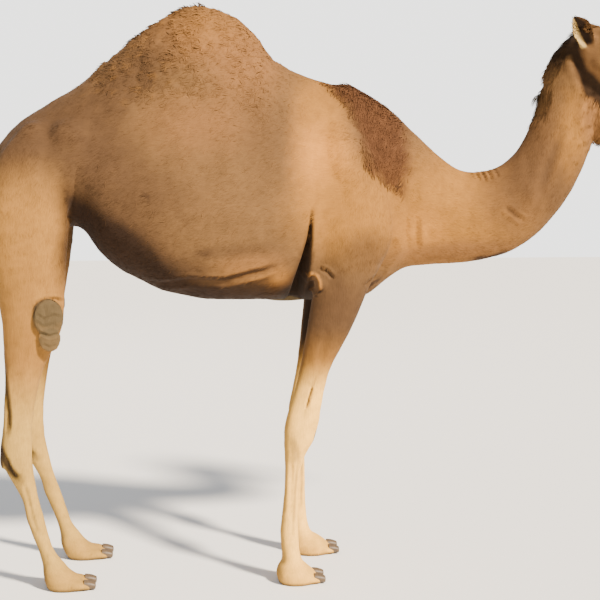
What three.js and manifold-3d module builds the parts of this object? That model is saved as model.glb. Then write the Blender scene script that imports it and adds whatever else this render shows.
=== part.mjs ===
// A life-size dromedary standing still, as solids out to the tips of its coat.
// Millimetres, +X forward, +Y the animal's left, +Z up, soles on Z = 0.
import * as THREE from 'three';
import { mergeVertices } from 'three/addons/utils/BufferGeometryUtils.js';
import Module from 'manifold-3d';

const wasm = await Module();
wasm.setup();

// ---- sizes -------------------------------------------------------------------------------------
// Stations are written with X = 0 above the near fore foot; the whole is then moved by this much.
const ORIGIN_SHIFT = -132.5;
// Clear space left between one node and the next.
const GAP = 0.4;
// Vertices closer than this are one vertex.
const WELD = 1e-4;
// A cutting block larger than the animal.
const BLOCK = 6000;

// Trunk and hump: x, top, under, half width, fullness above, fullness below, sink of the widest line.
const TRUNK = [
  [-1120, 1520, 1300, 92, 2.0, 2.0, 0.0],
  [-1075, 1602, 1225, 155, 1.8, 2.1, -0.1],
  [-1000, 1674, 1210, 196, 1.7, 2.2, -0.12],
  [-900, 1737, 1258, 222, 1.65, 2.2, -0.16],
  [-805, 1791, 1276, 243, 1.6, 2.1, -0.22],
  [-727, 1862, 1182, 268, 1.55, 2.1, -0.29],
  [-650, 1928, 1122, 288, 1.5, 2.1, -0.34],
  [-575, 1987, 1082, 303, 1.48, 2.1, -0.38],
  [-500, 2038, 1053, 315, 1.45, 2.1, -0.4],
  [-430, 2075, 1036, 322, 1.45, 2.1, -0.41],
  [-360, 2086, 1024, 326, 1.45, 2.1, -0.42],
  [-288, 2068, 1019, 325, 1.45, 2.1, -0.41],
  [-215, 2032, 1018, 322, 1.45, 2.1, -0.4],
  [-145, 1974, 1017, 312, 1.5, 2.1, -0.36],
  [-75, 1880, 1016, 298, 1.55, 2.1, -0.3],
  [60, 1822, 1010, 262, 1.5, 2.0, -0.24],
  [160, 1794, 1010, 236, 1.5, 2.0, -0.2],
  [245, 1712, 1046, 176, 1.6, 2.0, -0.15],
];
// Neck: nape x, nape z, throat x, throat z, half width, fullness at the nape, fullness at the throat.
const NECK = [
  [100, 1786, 160, 1044, 184, 1.5, 2.0],
  [165, 1812, 215, 1014, 192, 1.55, 2.0],
  [226, 1786, 264, 1030, 184, 1.6, 2.0],
  [298, 1741, 332, 1084, 158, 1.7, 2.0],
  [368, 1685, 400, 1118, 134, 1.7, 2.0],
  [443, 1609, 500, 1130, 116, 1.8, 2.0],
  [518, 1540, 600, 1135, 104, 1.8, 2.0],
  [593, 1491, 700, 1150, 97, 1.8, 2.0],
  [669, 1484, 800, 1182, 92, 1.8, 2.0],
  [743, 1507, 900, 1252, 88, 1.8, 2.0],
  [805, 1566, 990, 1362, 84, 1.8, 2.0],
  [848, 1650, 1050, 1476, 80, 1.8, 2.0],
  [875, 1745, 1088, 1580, 77, 1.8, 2.0],
  [905, 1840, 1112, 1680, 74, 1.9, 2.0],
  [950, 1920, 1122, 1760, 71, 2.0, 2.0],
  [1000, 1972, 1118, 1820, 66, 2.0, 2.0],
];
// Head: the same columns as the neck, then the sink of the widest line.
const HEAD = [
  [1000, 1974, 1046, 1850, 66, 2.0, 2.0, 0.0],
  [1042, 2004, 1080, 1800, 80, 2.1, 2.0, 0.1],
  [1095, 2010, 1120, 1774, 88, 2.2, 1.9, 0.2],
  [1150, 2002, 1162, 1764, 90, 2.2, 1.8, 0.3],
  [1210, 1980, 1212, 1768, 82, 2.1, 1.8, 0.25],
  [1275, 1948, 1268, 1776, 64, 2.0, 1.9, 0.15],
  [1335, 1924, 1326, 1778, 53, 2.0, 2.0, 0.05],
  [1390, 1907, 1382, 1768, 50, 2.1, 2.1, 0.0],
  [1440, 1888, 1430, 1758, 51, 2.2, 2.2, 0.0],
  [1468, 1862, 1458, 1756, 45, 2.2, 2.2, 0.0],
];
// Foreleg: z, front, rear, distance from the mid-plane, half width, fullness.
const FORELEG = [
  [1650, 190, 70, 112, 40, 2.0],
  [1540, 256, 32, 148, 66, 2.1],
  [1310, 318, 16, 176, 88, 2.1],
  [1200, 300, 26, 182, 86, 2.1],
  [1115, 264, 34, 184, 78, 2.0],
  [1045, 228, 26, 186, 70, 2.0],
  [960, 188, 12, 188, 61, 2.0],
  [800, 105, -16, 188, 48, 2.0],
  [720, 78, -34, 188, 44, 2.0],
  [640, 62, -58, 188, 43, 2.1],
  [575, 52, -74, 188, 49, 2.3],
  [515, 40, -77, 188, 51, 2.3],
  [465, 10, -75, 188, 42, 2.1],
  [400, -14, -74, 188, 30, 2.0],
  [315, -21, -78, 188, 26, 2.0],
  [180, -20, -91, 188, 38, 2.0],
  [90, -12, -84, 188, 48, 2.0],
  [58, 12, -97, 188, 68, 2.2],
  [30, 40, -104, 188, 82, 2.3],
  [0, 38, -97, 188, 78, 2.3],
];
// Hind leg: the same columns as the foreleg.
const HINDLEG = [
  [1640, -890, -1000, 112, 45, 2.0],
  [1540, -842, -1075, 138, 72, 2.1],
  [1420, -812, -1128, 152, 92, 2.2],
  [1300, -822, -1138, 160, 98, 2.2],
  [1100, -840, -1095, 175, 88, 2.1],
  [965, -850, -1070, 188, 73, 2.0],
  [900, -870, -1066, 192, 65, 2.0],
  [835, -902, -1064, 194, 57, 2.0],
  [760, -934, -1062, 195, 50, 2.0],
  [610, -963, -1070, 196, 42, 2.1],
  [495, -968, -1084, 196, 44, 2.2],
  [440, -966, -1070, 196, 41, 2.2],
  [325, -948, -1012, 196, 29, 2.0],
  [260, -931, -999, 196, 27, 2.0],
  [190, -915, -976, 196, 34, 2.0],
  [135, -896, -955, 196, 37, 2.0],
  [90, -864, -943, 196, 46, 2.0],
  [55, -835, -940, 196, 62, 2.2],
  [28, -798, -936, 196, 74, 2.3],
  [0, -795, -926, 196, 70, 2.3],
];
// How much further forward the far legs stand than the near ones: z, forward.
const FAR_FORE = [[0, 92], [50, 86], [90, 68], [130, 61], [280, 61], [400, 52], [600, 44], [720, 33], [900, 14], [1200, 0]];
const FAR_HIND = [[0, 45], [60, 34], [180, 36], [260, 30], [390, 18], [520, 8], [760, 0], [950, -30], [1260, 0]];

// Tail: front x, front z, rear x, rear z, half width.
const TAIL = [
  [-1060, 1520, -1085, 1590, 34],
  [-1118, 1490, -1150, 1545, 32],
  [-1150, 1425, -1196, 1450, 27],
  [-1160, 1340, -1204, 1345, 22],
  [-1164, 1230, -1200, 1232, 18],
  [-1166, 1120, -1198, 1120, 17],
  [-1162, 1060, -1202, 1060, 22],
  [-1160, 990, -1204, 990, 24],
  [-1172, 925, -1196, 925, 12],
];

// Brow, cheek, lip, chin and toe swellings: centre x, y, z; radii x, y, z; turn about Y in degrees.
const BROW = { at: [1172, 62, 1962], radii: [62, 36, 30], turn: 18 };
const CHEEK = { at: [1138, 58, 1868], radii: [76, 38, 50], turn: 30 };
const UPPER_LIP = { at: [1450, 22, 1832], radii: [40, 30, 34], turn: 12 };
const BEARD = { at: [1108, 0, 1680], radii: [42, 40, 100], turn: -8 };
const LOWER_LIP = { at: [1432, 0, 1764], radii: [44, 36, 26], turn: -6 };
const HIP_BONE = { at: [-808, 150, 1592], radii: [96, 62, 76], turn: 14 };
const ELBOW = { at: [64, 202, 1104], radii: [42, 50, 60], turn: 0 };

// Mouth and nostril: the plane the mouth lies in, and a slit on each side of the muzzle.
const MOUTH = { at: [1480, 1796], turn: 88 };
const NOSTRIL = { at: [1436, 46, 1872], radii: [26, 12, 5], turn: 32 };

// Ear: a leaf along its own axis, hollow towards the front and side.
const EAR = {
  root: [1078, 60, 1938],
  tip: [1030, 104, 2036],
  opens: [0.5, 0.85, 0.1],
  buried: 18,
  widths: [[0, 15, 14], [0.25, 24, 17], [0.5, 28, 15], [0.75, 20, 10], [1, 5, 4]],
  hollow: 0.7,
  rim: 11,
};
// The head is turned towards the right about an upright axis: the axis's x, the angle in degrees, the
// direction in degrees from +X along which the turn grows, and where along it the turn begins and is full.
const HEAD_TURN = { x: 1035, angle: -20, along: 60, from: 1840, to: 2110 };
// Eyeball and the socket it sits in.
const EYE = { at: [1188, 70, 1926], radius: 21 };

// Toes of a foot, measured from the front of its sole: two side by side, each with a nail.
const TOE = { reach: 76, half: 38, spread: 37, height: 40, taper: 0.42, lift: 1.5, foreReach: 14, hindReach: 22 };
const NAIL = { length: 34, half: 17, top: 32, slope: 8, under: 5, proud: 15 };

// Callosities: centre x, y, z; radii x, y, z; turn about Z in degrees.
const STIFLE_PAD = { at: [-890, 262, 965], radii: [42, 14, 88], turn: -14 };
const ELBOW_PAD = { at: [50, 247, 1100], radii: [24, 12, 40], turn: 24 };
const KNEE_PAD = { at: [33, 188, 522], radii: [11, 32, 42], turn: 0 };
const HOCK_PAD = { at: [-1075, 196, 470], radii: [11, 22, 38], turn: 0 };
const BREAST_PAD = { at: [-55, 0, 1026], radii: [100, 78, 20], turn: 0 };

// Where the whole is parted: a point of each cut in X and Z, and the cut's direction in degrees from +X.
const CUTS = {
  neckBase: { at: [390, 1400], turn: 5 },
  neckMiddle: { at: [735, 1330], turn: 24 },
  neckUpper: { at: [960, 1570], turn: 50 },
  head: { at: [1042, 1868], turn: 32 },
  hump: { at: [-390, 1833], turn: 91.7 },
  rump: { at: [-770, 1500], turn: 0 },
  tailTuft: { at: [-1180, 1085], turn: 90 },
};
const LEG_CUTS = {
  fore: [['shoulder', 1045], ['forearm', 620], ['fore_cannon', 175], ['fore_foot', 0]],
  hind: [['thigh', 862], ['gaskin', 590], ['hind_cannon', 170], ['hind_foot', 0]],
};

// Finishes: colour, roughness, metalness.
const FINISH = {
  coat: [0xb98d5f, 0.92, 0],
  paleCoat: [0xcfab7c, 0.92, 0],
  darkCoat: [0x6f4a2e, 0.95, 0],
  callus: [0x6d604c, 0.85, 0],
  horn: [0x4b4036, 0.55, 0],
  eye: [0x1d120c, 0.12, 0],
};
// Facets: around a large form, a limb, a small form; rings between two stations.
const FACETS = { large: 16, neck: 12, head: 12, limb: 10, small: 8, nail: 6, ball: 8, rings: 1, domeRings: 1 };

// ---- shapes ------------------------------------------------------------------------------------
/** One row of a table at parameter t, by a uniform Catmull-Rom curve through every column. */
function rowAt(table, t) {
  const last = table.length - 1;
  const i = Math.min(Math.floor(t), last - 1);
  const f = t - i;
  const before = (a, b) => a.map((value, c) => 2 * value - b[c]);
  const p1 = table[i];
  const p2 = table[i + 1];
  const p0 = i > 0 ? table[i - 1] : before(p1, p2);
  const p3 = i + 2 <= last ? table[i + 2] : before(p2, p1);
  return p1.map((value, c) => {
    const leave = (p2[c] - p0[c]) / 2;
    const arrive = (p3[c] - p1[c]) / 2;
    const rise = p2[c] - value;
    return value + f * (leave + f * (3 * rise - 2 * leave - arrive + f * (leave + arrive - 2 * rise)));
  });
}

/** A value that changes smoothly with height, from a table of [z, value]. */
function byHeight(table, z) {
  const i = table.findIndex((row) => row[0] >= z);
  if (i === 0) return table[0][1];
  if (i < 0) return table[table.length - 1][1];
  const [z0, v0] = table[i - 1];
  const [z1, v1] = table[i];
  return v0 + (v1 - v0) * THREE.MathUtils.smoothstep(z, z0, z1);
}

// A station is [ax, az, bx, bz, y, half, fullness at a, fullness at b, sink]: an oval between the
// points a and b of the plane y, as wide as twice half, blown out towards a or b by the two fullnesses.
const trunkStation = ([x, top, under, half, above, below, sink]) => [x, top, x, under, 0, half, above, below, sink];
const neckStation = ([ax, az, bx, bz, half, atNape, atThroat, sink = 0]) =>
  [ax, az, bx, bz, 0, half, atNape, atThroat, sink];
const tailStation = ([ax, az, bx, bz, half]) => [ax, az, bx, bz, 0, half, 2, 2, 0];

/** One ring of a loft: points of the oval, `swell` of its full size, moved `along` by a vector. */
function ring(station, around, swell, along, grow) {
  const [ax, az, bx, bz, y, half, atA, atB, sink] = station;
  const reach = Math.hypot(ax - bx, az - bz) / 2;
  const stretch = ((reach + grow) / reach) * swell;
  return Array.from({ length: around }, (_, i) => {
    const angle = (i / around) * 2 * Math.PI;
    const power = 2 / (Math.cos(angle) > 0 ? atA : atB);
    const u = Math.sign(Math.cos(angle)) * Math.abs(Math.cos(angle)) ** power;
    const v = Math.sign(Math.sin(angle)) * Math.abs(Math.sin(angle)) ** power;
    const p = (u + sink * (1 - u * u)) * stretch;
    return [
      (ax + bx) / 2 + (p * (ax - bx)) / 2 + along[0],
      y + v * (half + grow) * swell,
      (az + bz) / 2 + (p * (az - bz)) / 2 + along[1],
    ];
  });
}

/**
 * A closed solid carried through the stations, with a rounded cap of the given bulge at each end,
 * every face moved out by `grow`, and the whole put in its place by a matrix if one is given.
 */
function loft(stations, around, [startBulge, endBulge], { grow = 0, rings = FACETS.rings, place } = {}) {
  const last = stations.length - 1;
  const loops = [];
  const cap = (at, from, bulge) => {
    const station = stations[at];
    const lean = [-(station[1] - station[3]), station[0] - station[2]];
    const outward = [
      station[0] + station[2] - stations[from][0] - stations[from][2],
      station[1] + station[3] - stations[from][1] - stations[from][3],
    ];
    const sign = Math.sign(lean[0] * outward[0] + lean[1] * outward[1]) / Math.hypot(...lean);
    const depth = bulge * Math.min(Math.hypot(...lean) / 2, station[5]) + grow;
    const made = [];
    for (let r = 1; r <= FACETS.domeRings && bulge > 0; r += 1) {
      const angle = (r / (FACETS.domeRings + 1)) * (Math.PI / 2);
      const reach = depth * Math.sin(angle) * sign;
      made.push(ring(station, around, Math.cos(angle), [lean[0] * reach, lean[1] * reach], grow));
    }
    const pole = [
      (station[0] + station[2]) / 2 + lean[0] * depth * sign * (bulge > 0 ? 1 : 0),
      station[4],
      (station[1] + station[3]) / 2 + lean[1] * depth * sign * (bulge > 0 ? 1 : 0),
    ];
    return { made, pole };
  };
  const start = cap(0, 1, startBulge);
  const end = cap(last, last - 1, endBulge);
  loops.push(...start.made.reverse());
  for (let k = 0; k <= last * rings; k += 1) {
    loops.push(ring(rowAt(stations, k / rings), around, 1, [0, 0], grow));
  }
  loops.push(...end.made);
  return closed(loops, start.pole, end.pole, place);
}

/** A watertight solid from a list of equal loops and the pole that closes each end. */
function closed(loops, startPole, endPole, place) {
  const around = loops[0].length;
  const points = [...loops.flat(), startPole, endPole];
  const startAt = points.length - 2;
  const endAt = points.length - 1;
  const index = [];
  for (let i = 0; i < around; i += 1) {
    const j = (i + 1) % around;
    index.push(startAt, j, i);
    for (let k = 0; k < loops.length - 1; k += 1) {
      const row = k * around;
      index.push(row + i, row + j, row + around + i, row + j, row + around + j, row + around + i);
    }
    const row = (loops.length - 1) * around;
    index.push(endAt, row + i, row + j);
  }
  const geometry = new THREE.BufferGeometry();
  geometry.setAttribute('position', new THREE.BufferAttribute(new Float32Array(points.flat()), 3));
  geometry.setIndex(index);
  if (place) geometry.applyMatrix4(place);
  return solid(geometry);
}

/** Every point of a geometry carried round with the turn of the head. */
function turnHead(geometry) {
  const position = geometry.attributes.position;
  const along = THREE.MathUtils.degToRad(HEAD_TURN.along);
  for (let i = 0; i < position.count; i += 1) {
    const [x, y, z] = [position.getX(i), position.getY(i), position.getZ(i)];
    const reach = x * Math.cos(along) + z * Math.sin(along);
    const share = THREE.MathUtils.smoothstep(reach, HEAD_TURN.from, HEAD_TURN.to);
    const angle = THREE.MathUtils.degToRad(HEAD_TURN.angle) * share;
    const from = x - HEAD_TURN.x;
    position.setXY(
      i,
      HEAD_TURN.x + from * Math.cos(angle) - y * Math.sin(angle),
      from * Math.sin(angle) + y * Math.cos(angle),
    );
  }
}

/** The manifold of a geometry, turned the right way out if its faces look inwards. */
function solid(geometry, turned = true) {
  const bare = geometry.clone();
  if (turned) turnHead(bare);
  bare.deleteAttribute('normal');
  bare.deleteAttribute('uv');
  const merged = mergeVertices(bare, WELD);
  const position = merged.attributes.position;
  const triangles = Uint32Array.from(merged.index.array);
  const corners = [0, 1, 2].map(() => new THREE.Vector3());
  let volume = 0;
  for (let t = 0; t < triangles.length; t += 3) {
    corners.forEach((corner, c) => corner.fromBufferAttribute(position, triangles[t + c]));
    volume += corners[0].dot(corners[1].clone().cross(corners[2]));
  }
  if (volume < 0) {
    for (let t = 0; t < triangles.length; t += 3) {
      [triangles[t], triangles[t + 1]] = [triangles[t + 1], triangles[t]];
    }
  }
  return new wasm.Manifold(new wasm.Mesh({
    numProp: 3,
    vertProperties: Float32Array.from(position.array),
    triVerts: triangles,
  }));
}

/** An ellipsoid on one side of the animal; `turn` leans it about Y, or about Z when it stands upright. */
function ellipsoid({ at, radii, turn }, { side = 1, grow = 0, upright = false } = {}) {
  const geometry = new THREE.SphereGeometry(1, FACETS.ball, FACETS.ball / 2);
  geometry.rotateX(Math.PI / 2);
  geometry.scale(radii[0] + grow, radii[1] + grow, radii[2] + grow);
  const angle = THREE.MathUtils.degToRad(turn);
  if (upright) geometry.rotateZ(angle * side);
  else geometry.rotateY(angle);
  geometry.translate(at[0], at[1] * side, at[2]);
  return solid(geometry);
}

/** The half of space on one side of a slanting cut, short of it by half the gap. */
function halfSpace({ at, turn }, forward) {
  const geometry = new THREE.BoxGeometry(BLOCK, BLOCK, BLOCK);
  geometry.translate(((BLOCK + GAP) / 2) * (forward ? 1 : -1), 0, 0);
  geometry.rotateY(-THREE.MathUtils.degToRad(turn));
  geometry.translate(at[0], 0, at[1]);
  return solid(geometry, false);
}

/** A body parted in two by a cut: [the part beyond it, the part behind it]. */
function part(body, cut) {
  return [body.intersect(halfSpace(cut, true)), body.intersect(halfSpace(cut, false))];
}

// ---- legs --------------------------------------------------------------------------------------
/** The stations of one leg; a far leg stands further forward by an amount that changes with height. */
function legStations(table, forward, side) {
  return table.map(([z, front, rear, y, half, fullness]) => {
    const shift = forward ? byHeight(forward, z) : 0;
    return [front + shift, z, rear + shift, z, y * side, half, fullness, fullness, 0];
  });
}

/** One toe of a foot: a low rounded form that ends in front of the sole, nearly flat beneath. */
function toe(front, y, grow = 0) {
  const stations = [0, 0.5, 1].map((t) => {
    const x = front - TOE.reach * (1 - t);
    const top = TOE.height * (1 - TOE.taper * t * t);
    return [x, top, x, TOE.lift, y, TOE.half * (1 - TOE.taper * t * t), 2.2, 3, 0];
  });
  return loft(stations, FACETS.small, [0, 0.45], { grow });
}

/** The nail at the front of a toe. */
function nail(front, y, grow = 0) {
  const stations = [0, 1].map((t) => {
    const x = front + NAIL.proud - NAIL.length * (1 - t);
    return [x, NAIL.top - NAIL.slope * t, x, NAIL.under, y, NAIL.half * (1 - 0.2 * t), 2.4, 2.4, 0];
  });
  return loft(stations, FACETS.nail, [0, 0.3], { grow });
}

/**
 * One whole leg and what is set into it.
 * Returns its parts from the top down, its nails and pads, and the hollow that the trunk needs for it.
 */
function leg(kind, sideName) {
  const side = sideName === 'left' ? 1 : -1;
  const fore = kind === 'fore';
  const forward = side > 0 ? (fore ? FAR_FORE : FAR_HIND) : null;
  const table = fore ? FORELEG : HINDLEG;
  const shiftAt = (z) => (forward ? byHeight(forward, z) : 0);
  const moved = (form) => ({ ...form, at: [form.at[0] + shiftAt(form.at[2]), form.at[1], form.at[2]] });
  const stations = legStations(table, forward, side);
  const swellings = (fore ? [ELBOW] : []).map(moved);
  const bulk = (grow) => swellings.reduce(
    (body, form) => body.add(ellipsoid(form, { side, grow })),
    loft(stations, FACETS.limb, [0.5, 0], { grow }),
  );

  const [, soleFront, , soleSide] = table[table.length - 1];
  const toeFront = soleFront + shiftAt(0) + (fore ? TOE.foreReach : TOE.hindReach);
  const toeSides = [-TOE.spread, TOE.spread].map((offset) => (soleSide + offset) * side);
  let body = toeSides.reduce((whole, y) => whole.add(toe(toeFront, y)), bulk(0));
  const nails = toeSides.map((y, i) => [`${kind}_nail_${i ? 'outer' : 'inner'}_${sideName}`, nail(toeFront, y)]);
  toeSides.forEach((y) => { body = body.subtract(nail(toeFront, y, GAP)); });

  const padForms = fore ? { elbow_pad: ELBOW_PAD, knee_pad: KNEE_PAD } : { stifle_pad: STIFLE_PAD, hock_pad: HOCK_PAD };
  let hollow = bulk(GAP);
  const pads = Object.entries(padForms).map(([name, form]) => {
    const bed = ellipsoid(moved(form), { side, grow: GAP, upright: true });
    body = body.subtract(bed);
    hollow = hollow.add(bed);
    return [`${name}_${sideName}`, ellipsoid(moved(form), { side, upright: true })];
  });

  const parts = [];
  for (const [name, bottom] of LEG_CUTS[kind].slice(0, -1)) {
    const [above, below] = part(body, { at: [0, bottom], turn: 90 });
    parts.push([`${name}_${sideName}`, above]);
    body = below;
  }
  parts.push([`${LEG_CUTS[kind].at(-1)[0]}_${sideName}`, body]);
  return { parts, nails, pads, hollow };
}

// ---- head --------------------------------------------------------------------------------------
/** An ear's solid and the hollow its root needs in the head. */
function ear(side) {
  const mirrored = ([x, y, z]) => new THREE.Vector3(x, y * side, z);
  const root = mirrored(EAR.root);
  const axis = mirrored(EAR.tip).sub(root);
  const length = axis.length();
  const up = axis.normalize();
  const opening = mirrored(EAR.opens).addScaledVector(up, -mirrored(EAR.opens).dot(up)).normalize();
  const across = new THREE.Vector3().crossVectors(opening, up);
  const place = new THREE.Matrix4().makeBasis(across, opening, up).setPosition(root);
  const leaf = (scale, lift, grow) => {
    const stations = EAR.widths.map(([t, half, depth]) => {
      const z = t * (length + EAR.buried) - EAR.buried;
      return [half * scale, z, -half * scale, z, lift, depth * scale, 2, 2, 0];
    });
    return loft(stations, FACETS.small, [0.4, 0.6], { grow, place });
  };
  return { solid: leaf(1, 0, 0).subtract(leaf(EAR.hollow, EAR.rim, 0)), hollow: leaf(1, 0, GAP) };
}

/** The head's bulk, before the neck and ears are taken from it. */
function skull() {
  const forms = [BROW, CHEEK, UPPER_LIP];
  let body = loft(HEAD.map(neckStation), FACETS.head, [0.4, 0.5]).add(ellipsoid(LOWER_LIP)).add(ellipsoid(BEARD));
  for (const side of [-1, 1]) {
    body = forms.reduce((whole, form) => whole.add(ellipsoid(form, { side })), body);
    body = body.subtract(ellipsoid(NOSTRIL, { side }));
  }
  return body;
}

// ---- whole -------------------------------------------------------------------------------------
const group = new THREE.Group();
group.name = 'dromedary';

/** A solid added to the group as a named mesh in one of the finishes. */
function node(name, body, finish) {
  const made = body.getMesh();
  const geometry = new THREE.BufferGeometry();
  geometry.setAttribute('position', new THREE.BufferAttribute(Float32Array.from(made.vertProperties), 3));
  geometry.setIndex(Array.from(made.triVerts));
  geometry.translate(ORIGIN_SHIFT, 0, 0);
  geometry.computeVertexNormals();
  const [color, roughness, metalness] = FINISH[finish];
  const mesh = new THREE.Mesh(geometry, new THREE.MeshStandardMaterial({ color, roughness, metalness }));
  mesh.name = name;
  group.add(mesh);
}

let core = loft(TRUNK.map(trunkStation), FACETS.large, [0.6, 0.2])
  .add(loft(NECK.map(neckStation), FACETS.neck, [0, 0.5]))
  .add(skull())
  .add(ellipsoid(HIP_BONE, { side: 1 }))
  .add(ellipsoid(HIP_BONE, { side: -1 }));

const legs = ['fore', 'hind'].flatMap((kind) => ['left', 'right'].map((sideName) => leg(kind, sideName)));
for (const { hollow } of legs) core = core.subtract(hollow);

const tail = loft(TAIL.map(tailStation), FACETS.small, [0.5, 0.6]);
core = core.subtract(loft(TAIL.map(tailStation), FACETS.small, [0.5, 0.6], { grow: GAP }));
core = core.subtract(ellipsoid(BREAST_PAD, { grow: GAP }));

for (const [sideName, side] of [['left', 1], ['right', -1]]) {
  const { solid: leaf, hollow } = ear(side);
  const ball = { at: EYE.at, radii: [EYE.radius, EYE.radius, EYE.radius], turn: 0 };
  core = core.subtract(hollow).subtract(ellipsoid(ball, { side, grow: GAP }));
  node(`ear_${sideName}`, leaf, 'coat');
  node(`eye_${sideName}`, ellipsoid(ball, { side }), 'eye');
}

const [headAndJaw, behindHead] = part(core, CUTS.head);
const [head, jaw] = part(headAndJaw, MOUTH);
const [neckUpper, behindUpper] = part(behindHead, CUTS.neckUpper);
const [neckMiddle, behindMiddle] = part(behindUpper, CUTS.neckMiddle);
const [neckBase, body] = part(behindMiddle, CUTS.neckBase);
const [hump, torso] = part(body, CUTS.hump);
const [trunk, rump] = part(torso, CUTS.rump);
const [tailUpper, tailTuft] = part(tail, CUTS.tailTuft);

node('head', head, 'coat');
node('lower_jaw', jaw, 'coat');
node('neck_upper', neckUpper, 'coat');
node('neck_middle', neckMiddle, 'coat');
node('neck_base', neckBase, 'coat');
node('trunk', trunk, 'coat');
node('hump', hump, 'coat');
node('rump', rump, 'coat');
node('tail', tailUpper, 'coat');
node('tail_tuft', tailTuft, 'darkCoat');
node('breast_pad', ellipsoid(BREAST_PAD), 'callus');
for (const { parts, nails, pads } of legs) {
  parts.forEach(([name, piece], i) => node(name, piece, i < 1 ? 'coat' : 'paleCoat'));
  nails.forEach(([name, piece]) => node(name, piece, 'horn'));
  pads.forEach(([name, piece]) => node(name, piece, 'callus'));
}

export default group;
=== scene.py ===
"""A life-size dromedary standing still: one skin with its coat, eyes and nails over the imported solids.

Shapes are worked out in millimetres in a straight frame, with X = 0 above the near fore foot and the
head looking forward. Just before a mesh is made, the head is turned and the whole is put in metres.
"""
import logging
import math
from dataclasses import dataclass, field
from enum import Enum

import bpy
import numpy as np
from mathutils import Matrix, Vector


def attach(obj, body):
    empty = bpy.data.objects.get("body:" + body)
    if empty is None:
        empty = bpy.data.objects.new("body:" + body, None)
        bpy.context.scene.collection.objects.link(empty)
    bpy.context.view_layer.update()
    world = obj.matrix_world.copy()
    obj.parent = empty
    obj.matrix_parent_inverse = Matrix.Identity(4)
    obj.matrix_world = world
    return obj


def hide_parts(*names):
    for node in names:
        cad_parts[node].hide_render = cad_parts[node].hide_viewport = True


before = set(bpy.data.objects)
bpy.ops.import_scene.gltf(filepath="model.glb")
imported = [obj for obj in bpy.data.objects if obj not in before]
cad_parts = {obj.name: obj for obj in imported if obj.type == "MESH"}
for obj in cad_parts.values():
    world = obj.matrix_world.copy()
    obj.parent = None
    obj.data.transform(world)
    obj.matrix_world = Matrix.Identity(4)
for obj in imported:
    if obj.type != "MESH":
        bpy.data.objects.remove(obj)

log = logging.getLogger("dromedary")
Array = np.ndarray
Row = tuple[float, ...]
Table = tuple[Row, ...]

MM = 0.001
ORIGIN_SHIFT = -132.5
BODY = "root"
EYE_X, EYE_Z = 1188, 1926


# ---- numbers and curves ---------------------------------------------------------------------------
def smooth(value: Array, low: float, high: float) -> Array:
    """Smoothstep: 3t^2 - 2t^3 with t = (value - low) / (high - low), held between 0 and 1."""
    t = np.clip((value - low) / (high - low), 0.0, 1.0)
    return t * t * (3.0 - 2.0 * t)


def unit(vectors: Array) -> Array:
    """Each vector divided by its own length."""
    return vectors / np.maximum(np.linalg.norm(vectors, axis=-1, keepdims=True), 1e-9)


def along_rows(table: Table, at: Array) -> Array:
    """Rows between the rows of a table, by a uniform Catmull-Rom curve through every column.

    Args:
        table: the rows that the curve passes through.
        at: where to read it, from 0 at the first row to len(table) - 1 at the last.

    Returns:
        One row for each value of `at`.
    """
    rows = np.asarray(table, float)
    ends = np.vstack([2 * rows[0] - rows[1], rows, 2 * rows[-1] - rows[-2]])
    i = np.clip(np.floor(at).astype(int), 0, len(rows) - 2)
    f = (at - i)[:, None]
    before, start, end, after = ends[i], ends[i + 1], ends[i + 2], ends[i + 3]
    leave, arrive = (end - before) / 2, (after - start) / 2
    rise = end - start
    return start + f * (leave + f * (3 * rise - 2 * leave - arrive + f * (leave + arrive - 2 * rise)))


def by_height(table: Table, z: Array) -> Array:
    """A value that changes with height by a smoothstep between the entries (z, value) of a table."""
    result = np.full(np.shape(z), float(table[0][1]))
    for (z0, v0), (z1, v1) in zip(table[:-1], table[1:]):
        result = np.where(z > z0, v0 + (v1 - v0) * smooth(z, z0, z1), result)
    return result


def ripple(points: Array, size: float, seed: int, waves: int = 9) -> Array:
    """A soft random field between about -1 and 1: a sum of sines along random directions.

    Args:
        points: where to read it, in millimetres.
        size: the usual distance from one hill to the next, in millimetres.
        seed: picks the directions and phases.
        waves: how many sines are added.

    Returns:
        One number for each point.
    """
    rng = np.random.default_rng(seed)
    ways = unit(rng.normal(size=(waves, 3))) * rng.uniform(0.7, 1.5, (waves, 1)) * 2 * math.pi / size
    return np.sin(points @ ways.T + rng.uniform(0, 2 * math.pi, waves)).sum(1) * 1.4 / waves


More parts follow.
